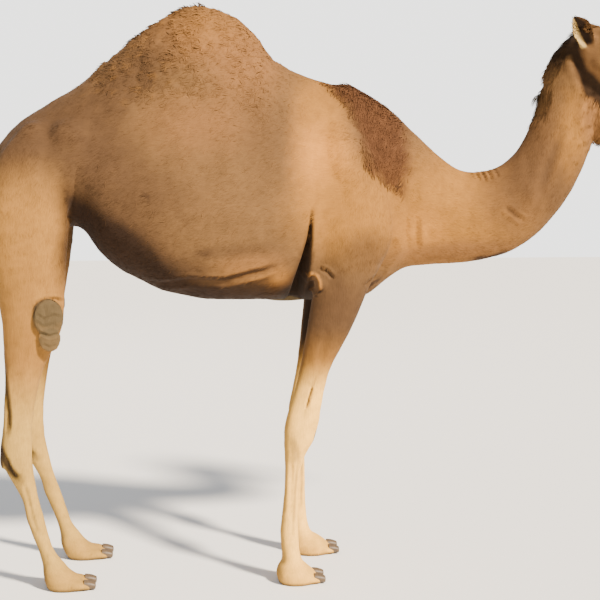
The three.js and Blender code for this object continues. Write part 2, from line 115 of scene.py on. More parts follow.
# ---- meshes ---------------------------------------------------------------------------------------
@dataclass
class Shell:
    """A closed surface: points in the straight frame, and faces of three or four corners."""

    points: Array
    quads: Array = field(default_factory=lambda: np.zeros((0, 4), int))
    tris: Array = field(default_factory=lambda: np.zeros((0, 3), int))

    def triangles(self) -> Array:
        """Every face as triangles."""
        q = self.quads
        return np.vstack([self.tris, q[:, [0, 1, 2]], q[:, [0, 2, 3]]]).astype(int)

    def facing_out(self) -> "Shell":
        """The same shell, turned right side out if the volume its faces enclose is negative."""
        a, b, c = (self.points[self.triangles()[:, k]] for k in range(3))
        if np.einsum("ij,ij->i", a, np.cross(b, c)).sum() < 0:
            return Shell(self.points, self.quads[:, ::-1], self.tris[:, ::-1])
        return self

    def normals(self) -> Array:
        """The mean direction of the faces round each point, each face weighted by its area."""
        t = self.triangles()
        a, b, c = (self.points[t[:, k]] for k in range(3))
        face = np.cross(b - a, c - a)
        total = np.stack([sum(np.bincount(t[:, k], face[:, axis], len(self.points)) for k in range(3))
                          for axis in range(3)], 1)
        return unit(total)

    def edges(self) -> Array:
        """Each pair of points that share an edge, once."""
        loops = [self.quads[:, [k, (k + 1) % 4]] for k in range(4)]
        loops += [self.tris[:, [k, (k + 1) % 3]] for k in range(3)]
        pairs = np.sort(np.vstack(loops), 1).astype(np.int64)
        keys = np.unique(pairs[:, 0] * len(self.points) + pairs[:, 1])
        return np.stack([keys // len(self.points), keys % len(self.points)], 1)


def joined(shells: list[Shell]) -> Shell:
    """Several shells as one list of points and faces."""
    starts = np.cumsum([0] + [len(s.points) for s in shells[:-1]])
    return Shell(
        np.vstack([s.points for s in shells]),
        np.vstack([s.quads + k for s, k in zip(shells, starts)]).astype(int),
        np.vstack([s.tris + k for s, k in zip(shells, starts)]).astype(int),
    )


def tube(rings: Array, start: Array, end: Array) -> Shell:
    """A closed shell through equal rings, each end closed by a fan to its pole.

    Args:
        rings: points, shaped (rings, around, 3).
        start: the pole before the first ring.
        end: the pole after the last ring.

    Returns:
        The shell, facing outwards.
    """
    count, around = rings.shape[:2]
    i = np.arange(around)
    j = (i + 1) % around
    rows = (np.arange(count - 1) * around)[:, None]
    quads = np.stack([rows + i, rows + j, rows + around + j, rows + around + i], -1).reshape(-1, 4)
    first, last = count * around, count * around + 1
    row = (count - 1) * around
    tris = np.vstack([np.stack([np.full(around, first), j, i], 1),
                      np.stack([np.full(around, last), row + i, row + j], 1)])
    return Shell(np.vstack([rings.reshape(-1, 3), start, end]), quads, tris).facing_out()


def loft(stations: Table, around: int, steps: int, bulges: tuple[float, float], domes: int = 6) -> Shell:
    """A closed shell carried through oval stations, with a rounded cap at each end.

    A station is (ax, az, bx, bz, y, half, fullness at a, fullness at b, sink). A point of its oval at
    angle t is u = sgn(cos t)|cos t|^(2/n) along the line from its middle to a, with n the fullness of
    the end it is nearer, v = sgn(sin t)|sin t|^(2/n) times `half` along Y, and u is then moved by
    sink (1 - u^2), so that the widest line lies lower or higher. A cap's rings shrink by the cosine of an
    angle and move out by its sine times the bulge.

    Args:
        stations: the rows that the loft passes through.
        around: points in a ring.
        steps: rings from one station to the next.
        bulges: depth of the first and last cap, as a share of the smaller half size there.
        domes: rings in a cap.

    Returns:
        The shell, facing outwards.
    """
    last = len(stations) - 1
    rows = along_rows(stations, np.linspace(0, last, last * steps + 1))
    lean = np.stack([-(rows[:, 1] - rows[:, 3]), rows[:, 0] - rows[:, 2]], 1)
    middle = (rows[:, 0:2] + rows[:, 2:4]) / 2
    reach = np.linalg.norm(lean, axis=1)
    angles = np.arange(1, domes) / domes * math.pi / 2
    parts, poles = [], []
    for at, other, bulge in ((0, 1, bulges[0]), (-1, -2, bulges[1])):
        sign = np.sign(lean[at] @ (middle[at] - middle[other])) / reach[at]
        push = lean[at] * sign * bulge * min(reach[at] / 2, rows[at, 5])
        parts.append([(rows[at], math.cos(a), push * math.sin(a)) for a in angles])
        poles.append(np.array([middle[at, 0] + push[0], rows[at, 4], middle[at, 1] + push[1]]))
    table = np.vstack([[p[0] for p in parts[0][::-1]], rows, [p[0] for p in parts[1]]])
    swell = np.concatenate([[p[1] for p in parts[0][::-1]], np.ones(len(rows)), [p[1] for p in parts[1]]])
    shift = np.vstack([[p[2] for p in parts[0][::-1]], np.zeros((len(rows), 2)), [p[2] for p in parts[1]]])
    turn = np.arange(around) / around * 2 * math.pi
    cos, sin = np.cos(turn), np.sin(turn)
    power = 2 / np.where(cos > 0, table[:, 6:7], table[:, 7:8])
    u = np.sign(cos) * np.abs(cos) ** power
    v = np.sign(sin) * np.abs(sin) ** power
    p = (u + table[:, 8:9] * (1 - u * u)) * swell[:, None] / 2
    x = (table[:, 0:1] + table[:, 2:3]) / 2 + p * (table[:, 0:1] - table[:, 2:3]) + shift[:, 0:1]
    z = (table[:, 1:2] + table[:, 3:4]) / 2 + p * (table[:, 1:2] - table[:, 3:4]) + shift[:, 1:2]
    y = table[:, 4:5] + v * table[:, 5:6] * swell[:, None]
    return tube(np.stack([x, y, z], -1), poles[0], poles[1])


def ellipsoid(at: Row, radii: Row, lean: float = 0.0, turn: float = 0.0, around: int = 40) -> Shell:
    """An ellipsoid: (cos b cos a, cos b sin a, sin b) times the radii, leaned about Y, turned about Z.

    Args:
        at: its centre.
        radii: its half sizes along X, Y and Z.
        lean: angle about Y in degrees.
        turn: angle about Z in degrees.
        around: points in a ring.

    Returns:
        The shell, facing outwards.
    """
    up = np.linspace(-math.pi / 2, math.pi / 2, around // 2 + 1)[1:-1, None]
    a = np.arange(around)[None] / around * 2 * math.pi
    rings = np.stack([np.cos(up) * np.cos(a), np.cos(up) * np.sin(a), np.sin(up) + 0 * a], -1) * radii
    poles = np.array([[0, 0, -1], [0, 0, 1]]) * np.asarray(radii)
    c, s = math.cos(math.radians(lean)), math.sin(math.radians(lean))
    d, t = math.cos(math.radians(turn)), math.sin(math.radians(turn))
    spin = np.array([[d, -t, 0], [t, d, 0], [0, 0, 1]]) @ np.array([[c, 0, s], [0, 1, 0], [-s, 0, c]])
    poles = poles @ spin.T + at
    return tube(rings @ spin.T + at, poles[0], poles[1])


@dataclass(frozen=True)
class HeadTurn:
    """The turn of the head to the animal's right, about an upright axis, growing along the upper neck."""

    x: float = 1035.0
    angle: float = -20.0
    along: float = 60.0
    start: float = 1840.0
    full: float = 2110.0

    def apply(self, points: Array) -> Array:
        """Points carried round by the angle times a smoothstep of their reach along the neck."""
        way = math.radians(self.along)
        reach = points[:, 0] * math.cos(way) + points[:, 2] * math.sin(way)
        angle = math.radians(self.angle) * smooth(reach, self.start, self.full)
        x, y = points[:, 0] - self.x, points[:, 1]
        return np.stack([self.x + x * np.cos(angle) - y * np.sin(angle),
                         x * np.sin(angle) + y * np.cos(angle), points[:, 2]], 1)


TURN = HeadTurn()


def placed(points: Array) -> Array:
    """Points of the straight frame with the head turned, in metres, in the frame of the solids."""
    moved = TURN.apply(points)
    moved[:, 0] += ORIGIN_SHIFT
    return moved * MM


def mesh_object(name: str, shell: Shell, place: bool = True) -> bpy.types.Object:
    """A smooth-shaded Blender object made from a shell.

    Args:
        name: the object's name.
        shell: its points and faces.
        place: turn the head and put the points in metres; else they are kept as they are.

    Returns:
        The object, linked to the scene at the origin.
    """
    points = placed(shell.points) if place else shell.points
    corners = np.concatenate([shell.quads.ravel(), shell.tris.ravel()]).astype(np.int32)
    sizes = np.concatenate([np.full(len(shell.quads), 4), np.full(len(shell.tris), 3)])
    starts = np.concatenate([[0], np.cumsum(sizes)[:-1]]).astype(np.int32)
    mesh = bpy.data.meshes.new(name)
    mesh.vertices.add(len(points))
    mesh.vertices.foreach_set("co", np.asarray(points, np.float32).ravel())
    mesh.loops.add(len(corners))
    mesh.loops.foreach_set("vertex_index", corners)
    mesh.polygons.add(len(starts))
    mesh.polygons.foreach_set("loop_start", starts)
    mesh.update(calc_edges=True)
    mesh.polygons.foreach_set("use_smooth", np.ones(len(starts), bool))
    made = bpy.data.objects.new(name, mesh)
    bpy.context.scene.collection.objects.link(made)
    return made


def read_shell(obj: bpy.types.Object) -> Shell:
    """The points and faces of an object with its modifiers worked out; the object is then removed."""
    worked = obj.evaluated_get(bpy.context.evaluated_depsgraph_get())
    mesh = worked.to_mesh()
    points = np.empty(len(mesh.vertices) * 3, np.float32)
    mesh.vertices.foreach_get("co", points)
    corners = np.empty(len(mesh.loops), np.int32)
    mesh.loops.foreach_get("vertex_index", corners)
    starts = np.empty(len(mesh.polygons), np.int32)
    mesh.polygons.foreach_get("loop_start", starts)
    sizes = np.empty(len(mesh.polygons), np.int32)
    mesh.polygons.foreach_get("loop_total", sizes)
    quads = corners[starts[sizes == 4][:, None] + np.arange(4)]
    tris = corners[starts[sizes == 3][:, None] + np.arange(3)]
    worked.to_mesh_clear()
    bpy.data.objects.remove(obj)
    return Shell(points.reshape(-1, 3).astype(float), quads.astype(int), tris.astype(int))


def set_colours(obj: bpy.types.Object, name: str, colours: Array) -> None:
    """A colour on each point of an object, as a linear colour attribute."""
    layer = obj.data.color_attributes.new(name, "FLOAT_COLOR", "POINT")
    rows = np.column_stack([colours, np.ones(len(colours))]).astype(np.float32)
    layer.data.foreach_set("color", rows.ravel())


def set_value(obj: bpy.types.Object, name: str, values: Array) -> None:
    """A number on each point of an object."""
    obj.data.attributes.new(name, "FLOAT", "POINT").data.foreach_set("value", values.astype(np.float32))


def finish_piece(obj: bpy.types.Object, material: bpy.types.Material, nodes: list[str]) -> None:
    """Dresses a piece, hides the nodes it stands for, puts it on what it rides on, and reports it."""
    obj.data.materials.append(material)
    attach(obj, BODY)
    if nodes:
        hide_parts(*nodes)
    log.info("%s: %d faces", obj.name, len(obj.data.polygons))


# ---- body plan ------------------------------------------------------------------------------------
@dataclass(frozen=True)
class Trunk:
    """Barrel, hump and rump. Rows: x, top, under, half width, fullness above, below, sink."""

    rows: Table = (
        (-1120, 1520, 1300, 92, 2, 2, 0), (-1075, 1602, 1225, 155, 1.8, 2.1, -.1),
        (-1000, 1674, 1210, 196, 1.7, 2.2, -.12), (-900, 1737, 1258, 222, 1.65, 2.2, -.16),
        (-805, 1791, 1276, 243, 1.6, 2.1, -.22), (-727, 1862, 1182, 268, 1.55, 2.1, -.29),
        (-650, 1928, 1122, 288, 1.5, 2.1, -.34), (-575, 1987, 1082, 303, 1.48, 2.1, -.38),
        (-500, 2038, 1053, 315, 1.45, 2.1, -.4), (-430, 2075, 1036, 322, 1.45, 2.1, -.41),
        (-360, 2086, 1024, 326, 1.45, 2.1, -.42), (-288, 2068, 1019, 325, 1.45, 2.1, -.41),
        (-215, 2032, 1018, 322, 1.45, 2.1, -.4), (-145, 1974, 1017, 312, 1.5, 2.1, -.36),
        (-75, 1880, 1016, 298, 1.55, 2.1, -.3), (60, 1822, 1010, 262, 1.5, 2, -.24),
        (160, 1794, 1010, 236, 1.5, 2, -.2), (245, 1712, 1046, 176, 1.6, 2, -.15),
    )
    hip: Row = (-808, 150, 1592)
    hip_radii: Row = (96, 62, 76)
    breast: Row = (-55, 0, 1026)
    breast_radii: Row = (100, 78, 20)

    def stations(self) -> Table:
        """The rows as stations of a loft."""
        return tuple((x, top, x, under, 0, half, a, b, k) for x, top, under, half, a, b, k in self.rows)

    def shells(self) -> list[Shell]:
        """The barrel, the two hip bones and the pad that the animal rests its breast on."""
        hips = [ellipsoid((self.hip[0], s * self.hip[1], self.hip[2]), self.hip_radii, 14) for s in (-1, 1)]
        return [loft(self.stations(), 96, 5, (.6, .2)), ellipsoid(self.breast, self.breast_radii), *hips]


@dataclass(frozen=True)
class Neck:
    """Neck. Rows: nape x, z, throat x, z, half width, fullness at the nape, at the throat."""

    rows: Table = (
        (100, 1786, 160, 1044, 184, 1.5, 2), (165, 1812, 215, 1014, 192, 1.55, 2),
        (226, 1786, 264, 1030, 184, 1.6, 2), (298, 1741, 332, 1084, 158, 1.7, 2),
        (368, 1685, 400, 1118, 134, 1.7, 2), (443, 1609, 500, 1130, 116, 1.8, 2),
        (518, 1540, 600, 1135, 104, 1.8, 2), (593, 1491, 700, 1150, 97, 1.8, 2),
        (669, 1484, 800, 1182, 92, 1.8, 2), (743, 1507, 900, 1252, 88, 1.8, 2),
        (805, 1566, 990, 1362, 84, 1.8, 2), (848, 1650, 1050, 1476, 80, 1.8, 2),
        (875, 1745, 1088, 1580, 77, 1.8, 2), (905, 1840, 1112, 1680, 74, 1.9, 2),
        (950, 1920, 1122, 1760, 71, 2, 2), (1000, 1972, 1118, 1820, 66, 2, 2),
    )
    beard: Row = (1108, 0, 1680)
    beard_radii: Row = (42, 40, 100)

    def stations(self) -> Table:
        """The rows as stations of a loft."""
        return tuple((ax, az, bx, bz, 0, half, a, b, 0) for ax, az, bx, bz, half, a, b in self.rows)

    def shells(self) -> list[Shell]:
        """The neck and the loose skin that hangs from the throat."""
        return [loft(self.stations(), 72, 6, (0, .5)), ellipsoid(self.beard, self.beard_radii, -8)]


@dataclass(frozen=True)
class Ear:
    """An ear: a cup along its own axis, open to the front and side."""

    root: Row = (1078, 82, 1931)
    tip: Row = (1021, 112, 2037)
    opens: Row = (-.1, .95, .12)
    buried: float = 18.0
    wall: float = 6.5
    widths: Table = ((0, 14, 12, 0), (.25, 30, 18, 0), (.5, 38, 19, 2), (.75, 35, 14, 6), (1, 9, 6, 0))

    def frame(self, side: int) -> tuple[Array, Array, Array, Array, float]:
        """Root, across, opening and axis directions on one side, and the length."""
        flip = np.array([1, side, 1])
        root = np.array(self.root) * flip
        axis = np.array(self.tip) * flip - root
        length = float(np.linalg.norm(axis))
        axis = axis / length
        opens = np.array(self.opens) * flip
        opens = unit(opens - axis * (opens @ axis))
        return root, np.cross(opens, axis), opens, axis, length

    def shell(self, side: int) -> Shell:
        """The ear's wall: at each height, an arc of 250 degrees outside and back again inside.

        The outer arc is (w sin a, -d cos a) for a from -118 to 118 degrees, and the inner one is the
        same with both half sizes less the wall. Both are moved forward by the fourth column of `widths`.
        """
        root, across, opens, axis, length = self.frame(side)
        rows = along_rows(self.widths, np.linspace(0.05, len(self.widths) - 1, 22))
        rows[:, 2] *= 1.15
        arc = np.radians(np.linspace(-118, 118, 22))
        rings = []
        for t, half, depth, bow in rows:
            hollow = smooth(np.array(t), .02, .3) * smooth(np.array(1.06 - t), 0, .12)
            inner_w = max(half - self.wall, half * .15) * hollow
            inner_d = max(depth - self.wall, depth * .1) * hollow
            outer = np.stack([half * np.sin(arc), -depth * np.cos(arc)], 1)
            inner = np.stack([inner_w * np.sin(arc), -inner_d * np.cos(arc) + depth * .25 * (1 - hollow)], 1)
            ring = np.vstack([outer, inner[::-1]])
            ring[:, 0] += bow * np.sign(across[0])
            height = t * (length + self.buried) - self.buried
            rings.append(root + ring[:, :1] * across + ring[:, 1:] * opens + height * axis)
        grid = np.array(rings)
        return tube(grid, grid[0].mean(0) - axis * 2, grid[-1].mean(0) + axis * 2.5)


@dataclass(frozen=True)
class Head:
    """Skull, lips and ears. Rows: the neck's columns, then the sink of the widest line."""

    rows: Table = (
        (1000, 1974, 1046, 1850, 66, 2, 2, 0), (1042, 2004, 1080, 1800, 80, 2.1, 2, .1),
        (1095, 2010, 1120, 1774, 88, 2.2, 1.9, .2), (1150, 2002, 1162, 1764, 90, 2.2, 1.8, .3),
        (1210, 1980, 1212, 1768, 82, 2.1, 1.8, .25), (1275, 1948, 1268, 1776, 64, 2, 1.9, .15),
        (1335, 1924, 1326, 1778, 53, 2, 2, .05), (1390, 1907, 1382, 1768, 50, 2.1, 2.1, 0),
        (1440, 1888, 1430, 1758, 51, 2.2, 2.2, 0), (1468, 1862, 1458, 1756, 45, 2.2, 2.2, 0),
    )
    ear: Ear = Ear()

    def stations(self) -> Table:
        """The rows as stations of a loft."""
        return tuple((ax, az, bx, bz, 0, half, a, b, k) for ax, az, bx, bz, half, a, b, k in self.rows)

    def shells(self) -> list[Shell]:
        """The skull, brows, cheeks, lips and ears."""
        parts = [loft(self.stations(), 72, 6, (.4, .5)), ellipsoid((1432, 0, 1764), (44, 36, 26), -6)]
        for side in (-1, 1):
            parts.append(ellipsoid((1172, 62 * side, 1962), (62, 36, 30), 18))
            parts.append(ellipsoid((1138, 58 * side, 1868), (76, 38, 50), 30))
            parts.append(ellipsoid((1450, 22 * side, 1832), (40, 30, 34), 12))
            parts.append(self.ear.shell(side))
        return parts


class LegKind(Enum):
    """Which pair a leg belongs to."""

    FORE = "fore"
    HIND = "hind"


@dataclass(frozen=True)
class Toe:
    """The two toes of a foot and their nails, measured from the front of the sole."""

    reach: float = 76.0
    half: float = 38.0
    spread: float = 37.0
    height: float = 40.0
    taper: float = .42
    lift: float = 1.5
    nail_back: float = 20.0
    nail_long: float = 38.0
    nail_half: float = 20.0
    nail_high: float = 36.0

    def shell(self, front: float, y: float) -> Shell:
        """A low rounded form whose height and width fall by the taper times the square of its length."""
        rows = []
        for t in (0, .5, 1):
            x, less = front - self.reach * (1 - t), 1 - self.taper * t * t
            rows.append((x, self.height * less, x, self.lift, y, self.half * less, 2.2, 3, 0))
        return loft(tuple(rows), 40, 8, (0, .45))

    def nail(self, front: float, y: float) -> Shell:
        """A nail: a short loft that falls forward, with a ridge along its top."""
        rows = []
        for t in (0, .35, .7, 1):
            x = front - self.nail_back + self.nail_long * t
            half = self.nail_half * (1 - .22 * t * t)
            rows.append((x, self.nail_high - 9 * t * t, x, 3.5, y, half, 2.1, 2.6, 0))
        return loft(tuple(rows), 28, 5, (.2, .32))


@dataclass(frozen=True)
class Leg:
    """One leg. Rows: z, front, rear, distance from the mid-plane, half width, fullness."""

    kind: LegKind
    side: int

    FORE_ROWS = (
        (1650, 190, 70, 112, 40, 2), (1540, 256, 32, 148, 66, 2.1), (1310, 318, 16, 176, 88, 2.1),
        (1200, 300, 26, 182, 86, 2.1), (1115, 264, 34, 184, 78, 2), (1045, 228, 26, 186, 70, 2),
        (960, 188, 12, 188, 61, 2), (800, 105, -16, 188, 48, 2), (720, 78, -34, 188, 44, 2),
        (640, 62, -58, 188, 43, 2.1), (575, 52, -74, 188, 49, 2.3), (515, 34, -77, 188, 51, 2.2),
        (465, 6, -75, 188, 42, 2.1), (400, -14, -74, 188, 30, 2), (315, -21, -78, 188, 26, 2),
        (180, -20, -91, 188, 38, 2), (90, -12, -84, 188, 48, 2), (58, 12, -97, 188, 68, 2.2),
        (30, 40, -104, 188, 82, 2.3), (0, 38, -97, 188, 78, 2.3),
    )
    HIND_ROWS = (
        (1640, -890, -1000, 112, 45, 2), (1540, -842, -1075, 138, 72, 2.1),
        (1420, -812, -1128, 152, 92, 2.2), (1300, -822, -1138, 160, 98, 2.2),
        (1100, -840, -1095, 175, 88, 2.1), (965, -850, -1070, 188, 73, 2), (900, -870, -1066, 192, 65, 2),
        (835, -902, -1064, 194, 57, 2), (760, -934, -1062, 195, 50, 2), (610, -963, -1070, 196, 42, 2.1),
        (495, -968, -1084, 196, 44, 2.2), (440, -966, -1070, 196, 41, 2.2), (325, -948, -1012, 196, 29, 2),
        (260, -931, -999, 196, 27, 2), (190, -915, -976, 196, 34, 2), (135, -896, -955, 196, 37, 2),
        (90, -864, -943, 196, 46, 2), (55, -835, -940, 196, 62, 2.2), (28, -798, -936, 196, 74, 2.3),
        (0, -795, -926, 196, 70, 2.3),
    )
    FAR_FORE = ((0, 92), (50, 86), (90, 68), (130, 61), (280, 61), (400, 52), (600, 44), (720, 33),
                (900, 14), (1200, 0))
    FAR_HIND = ((0, 45), (60, 34), (180, 36), (260, 30), (390, 18), (520, 8), (760, 0), (950, -30),
                (1260, 0))
    toe: Toe = Toe()

    @property
    def name(self) -> str:
        """Left or right."""
        return "left" if self.side > 0 else "right"

    @property
    def rows(self) -> Table:
        """The rows of this kind of leg."""
        return self.FORE_ROWS if self.kind is LegKind.FORE else self.HIND_ROWS

    def shift(self, z: float) -> float:
        """How much further forward this leg stands at a height than the near one of its pair."""
        if self.side < 0:
            return 0.0
        return float(by_height(self.FAR_FORE if self.kind is LegKind.FORE else self.FAR_HIND, np.array(z)))

    def stations(self) -> Table:
        """The rows as stations of a loft."""
        return tuple((f + self.shift(z), z, r + self.shift(z), z, y * self.side, half, n, n, 0)
                     for z, f, r, y, half, n in self.rows)

    def toe_front(self) -> float:
        """Where the toes end."""
        return self.rows[-1][1] + self.shift(0) + (14 if self.kind is LegKind.FORE else 22)

    def toe_sides(self) -> list[float]:
        """The Y of the inner and outer toe."""
        return [(self.rows[-1][3] + k * self.toe.spread) * self.side for k in (-1, 1)]

    def shells(self) -> list[Shell]:
        """The limb, its toes, and the swellings of its pads and elbow."""
        parts = [loft(self.stations(), 48, 5, (.5, 0))]
        parts += [self.toe.shell(self.toe_front(), y) for y in self.toe_sides()]
        for at, radii, lean, turn in self.swellings():
            moved = (at[0] + self.shift(at[2]), at[1] * self.side, at[2])
            parts.append(ellipsoid(moved, radii, lean, turn * self.side))
        return parts

    def swellings(self) -> list[tuple[Row, Row, float, float]]:
        """Centre, radii, lean and turn of the pads of thick skin and the point of the elbow."""
        if self.kind is LegKind.FORE:
            return [((64, 202, 1104), (42, 50, 60), 0, 0), ((32, 188, 545), (9, 30, 36), 0, 0)]
        return [((-897, 262, 982), (56, 12, 72), 0, -14), ((-896, 257, 908), (43, 11, 50), 0, -14),
                ((-1075, 196, 470), (11, 22, 38), 0, 0)]


@dataclass(frozen=True)
class Tail:
    """Tail. Rows: front x, z, rear x, z, half width."""

    rows: Table = (
        (-1060, 1520, -1085, 1590, 34), (-1118, 1490, -1150, 1545, 32), (-1150, 1425, -1196, 1450, 27),
        (-1160, 1340, -1204, 1345, 22), (-1164, 1230, -1200, 1232, 18), (-1166, 1120, -1198, 1120, 17),
        (-1162, 1060, -1202, 1060, 22), (-1160, 990, -1204, 990, 24), (-1172, 925, -1196, 925, 12),
    )

    def stations(self) -> Table:
        """The rows as stations of a loft; the end is thinner than the hair that covers it."""
        return tuple((ax, az, bx, bz, 0, half, 2, 2, 0) for ax, az, bx, bz, half in self.rows)

    def core(self) -> Shell:
        """The tail under its hair."""
        rows = []
        for i, (ax, az, bx, bz, _, half, *rest) in enumerate(self.stations()):
            keep = .8 if i < 5 else .5
            mx, mz = (ax + bx) / 2, (az + bz) / 2
            rows.append((mx + (ax - mx) * keep, mz + (az - mz) * keep, mx + (bx - mx) * keep,
                         mz + (bz - mz) * keep, 0, half * keep, *rest))
        return loft(tuple(rows), 28, 6, (.5, .6))


@dataclass(frozen=True)
class BodyPlan:
    """Every part of the animal that the skin covers."""

    trunk: Trunk = Trunk()
    neck: Neck = Neck()
    head: Head = Head()
    tail: Tail = Tail()
    legs: tuple[Leg, ...] = tuple(Leg(kind, side) for kind in LegKind for side in (1, -1))

    def shells(self) -> list[Shell]:
        """The forms that are fused into the skin."""
        parts = self.trunk.shells() + self.neck.shells() + self.head.shells() + [self.tail.core()]
        for leg in self.legs:
            parts += leg.shells()
        return parts


# ---- lie of the coat ------------------------------------------------------------------------------
@dataclass(frozen=True)
class Cell:
    """A part's place on the unwrap of the skin: lower left corner and size."""

    u: float
    v: float
    wide: float
    high: float


class Part(Enum):
    """The lengths of the animal that the coat is laid along, each with its place on the unwrap."""

    TRUNK = Cell(.01, .01, .48, .56)
    NECK = Cell(.51, .01, .48, .30)
    HEAD = Cell(.51, .33, .48, .30)
    FORE_LEFT = Cell(.01, .66, .18, .32)
    FORE_RIGHT = Cell(.20, .66, .18, .32)
    HIND_LEFT = Cell(.39, .66, .18, .32)
    HIND_RIGHT = Cell(.58, .66, .18, .32)
    TAIL = Cell(.77, .66, .07, .32)
    EAR_LEFT = Cell(.85, .66, .06, .32)
    EAR_RIGHT = Cell(.92, .66, .06, .32)


class Grain:
    """Where a point of the skin lies along the parts of the body, and which way its hair lies."""

    def __init__(self, plan: BodyPlan) -> None:
        """Samples every part's stations: centre, two half axes, the way the hair lies, and length."""
        self.rows: list[tuple[Array, Array, Array, Array, float, float, int]] = []
        parts = list(Part)
        self._add(plan.trunk.stations(), 4, parts.index(Part.TRUNK), np.array([-.8, 0, -.45]), 60)
        self._add(plan.neck.stations()[3:], 5, parts.index(Part.NECK), None, 60)
        self._add(plan.head.stations(), 4, parts.index(Part.HEAD), None, 40)
        for leg in plan.legs:
            place = Part[f"{leg.kind.name}_{leg.name.upper()}"]
            self._add(leg.stations()[1:], 3, parts.index(place), np.array([-.12, 0, -1.]), 50)
        self._add(plan.tail.stations(), 4, parts.index(Part.TAIL), np.array([0., 0, -1.]), 40)
        for side, place in ((1, Part.EAR_LEFT), (-1, Part.EAR_RIGHT)):
            root, across, opens, axis, length = plan.head.ear.frame(side)
            for t in np.linspace(0.15, 1, 8):
                self.rows.append((root + axis * length * t, across * 26, opens * 16, axis, 18., t,
                                  parts.index(place)))
        self.centre, self.a, self.b, self.flow = (np.array([r[k] for r in self.rows]) for k in range(4))
        self.spacing, self.share = (np.array([r[k] for r in self.rows]) for k in (4, 5))
        self.part = np.array([r[6] for r in self.rows])
        self.axis = unit(np.cross(self.a, self.b))
        self.a_unit = self.a / (self.a ** 2).sum(1, keepdims=True)
        self.b_unit = self.b / (self.b ** 2).sum(1, keepdims=True)

    def _add(self, stations: Table, steps: int, part: int, flow: Array | None, spacing: float) -> None:
        """Samples a loft; with no flow given, the hair lies from its last station to its first."""
        last = len(stations) - 1
        rows = along_rows(stations, np.linspace(0, last, last * steps + 1))
        centre = np.stack([(rows[:, 0] + rows[:, 2]) / 2, rows[:, 4], (rows[:, 1] + rows[:, 3]) / 2], 1)
        tangent = -unit(np.gradient(centre, axis=0))
        for k, row in enumerate(rows):
            half = np.array([row[0] - row[2], 0, row[1] - row[3]]) / 2
            way = tangent[k] if flow is None else flow
            self.rows.append((centre[k], half, np.array([0, row[5], 0]), way, spacing, k / (len(rows) - 1),
                              part))

    def read(self, points: Array, normals: Array) -> tuple[Array, Array]:
        """The way the hair lies at points of the skin, and their place on the unwrap.

        A sample's measure of a point is the sum of squares of its offset over the sample's half axes
        and spacing. The lie is the mean of the samples' ways, weighted by exp(-7 measure / smallest),
        laid flat on the skin. The place is the nearest sample's length and the angle round it.

        Args:
            points: in the straight frame.
            normals: of the skin there.

        Returns:
            Unit directions, and (u, v) pairs.
        """
        lies, places = [], []
        cells = np.array([[p.value.u, p.value.v, p.value.wide, p.value.high] for p in Part])
        for at in range(0, len(points), 20000):
            p, n = points[at:at + 20000], normals[at:at + 20000]
            u = p @ self.a_unit.T - (self.centre * self.a_unit).sum(1)
            v = p @ self.b_unit.T - (self.centre * self.b_unit).sum(1)
            w = (p @ self.axis.T - (self.centre * self.axis).sum(1)) / self.spacing
            measure = u * u + v * v + w * w
            best = measure.argmin(1)
            row = np.arange(len(p))
            weight = np.exp(-7 * (measure / measure[row, best][:, None] - 1))
            lie = weight @ self.flow
            lie -= n * (lie * n).sum(1, keepdims=True)
            lies.append(unit(lie))
            cell = cells[self.part[best]]
            angle = np.arctan2(v[row, best], u[row, best]) / (2 * math.pi) + .5
            shift = np.clip(w[row, best], -1, 1) * .01
            length = np.clip(self.share[best] + shift, 0, 1)
            places.append(np.stack([cell[:, 0] + angle * cell[:, 2], cell[:, 1] + length * cell[:, 3]], 1))
        return np.vstack(lies), np.vstack(places)


# ---- relief ---------------------------------------------------------------------------------------
class View(Enum):
    """The pair of axes that a drawn line is measured in."""

    SIDE = (0, 2)
    FRONT = (1, 2)


def homed(points: Array) -> Array:
    """Points of the far legs moved back to where the near legs stand, so that one drawing serves both."""
    z = points[:, 2]
    legs = smooth(points[:, 1], 95, 135) * (1 - smooth(z, 1180, 1280))
    fore = smooth(points[:, 0], -260, -160)
    hind = 1 - smooth(points[:, 0], -760, -660)
    moved = points.copy()
    moved[:, 0] -= legs * (fore * by_height(Leg.FAR_FORE, z) + hind * by_height(Leg.FAR_HIND, z))
    return moved


def line_distance(flat: Array, path: Table) -> tuple[Array, Array]:
    """Distance from points of a plane to a broken line, and the share of the line's length passed."""
    best = np.full(len(flat), 1e9)
    share = np.zeros(len(flat))
    nodes = np.asarray(path, float)
    lengths = np.linalg.norm(np.diff(nodes, axis=0), axis=1)
    passed = np.concatenate([[0], np.cumsum(lengths)])
    for k, length in enumerate(lengths):
        way = (nodes[k + 1] - nodes[k]) / length
        reach = np.clip((flat - nodes[k]) @ way, 0, length)
        gap = np.linalg.norm(flat - nodes[k] - reach[:, None] * way, axis=1)
        nearer = gap < best
        best = np.where(nearer, gap, best)
        share = np.where(nearer, (passed[k] + reach) / passed[-1], share)
    return best, share


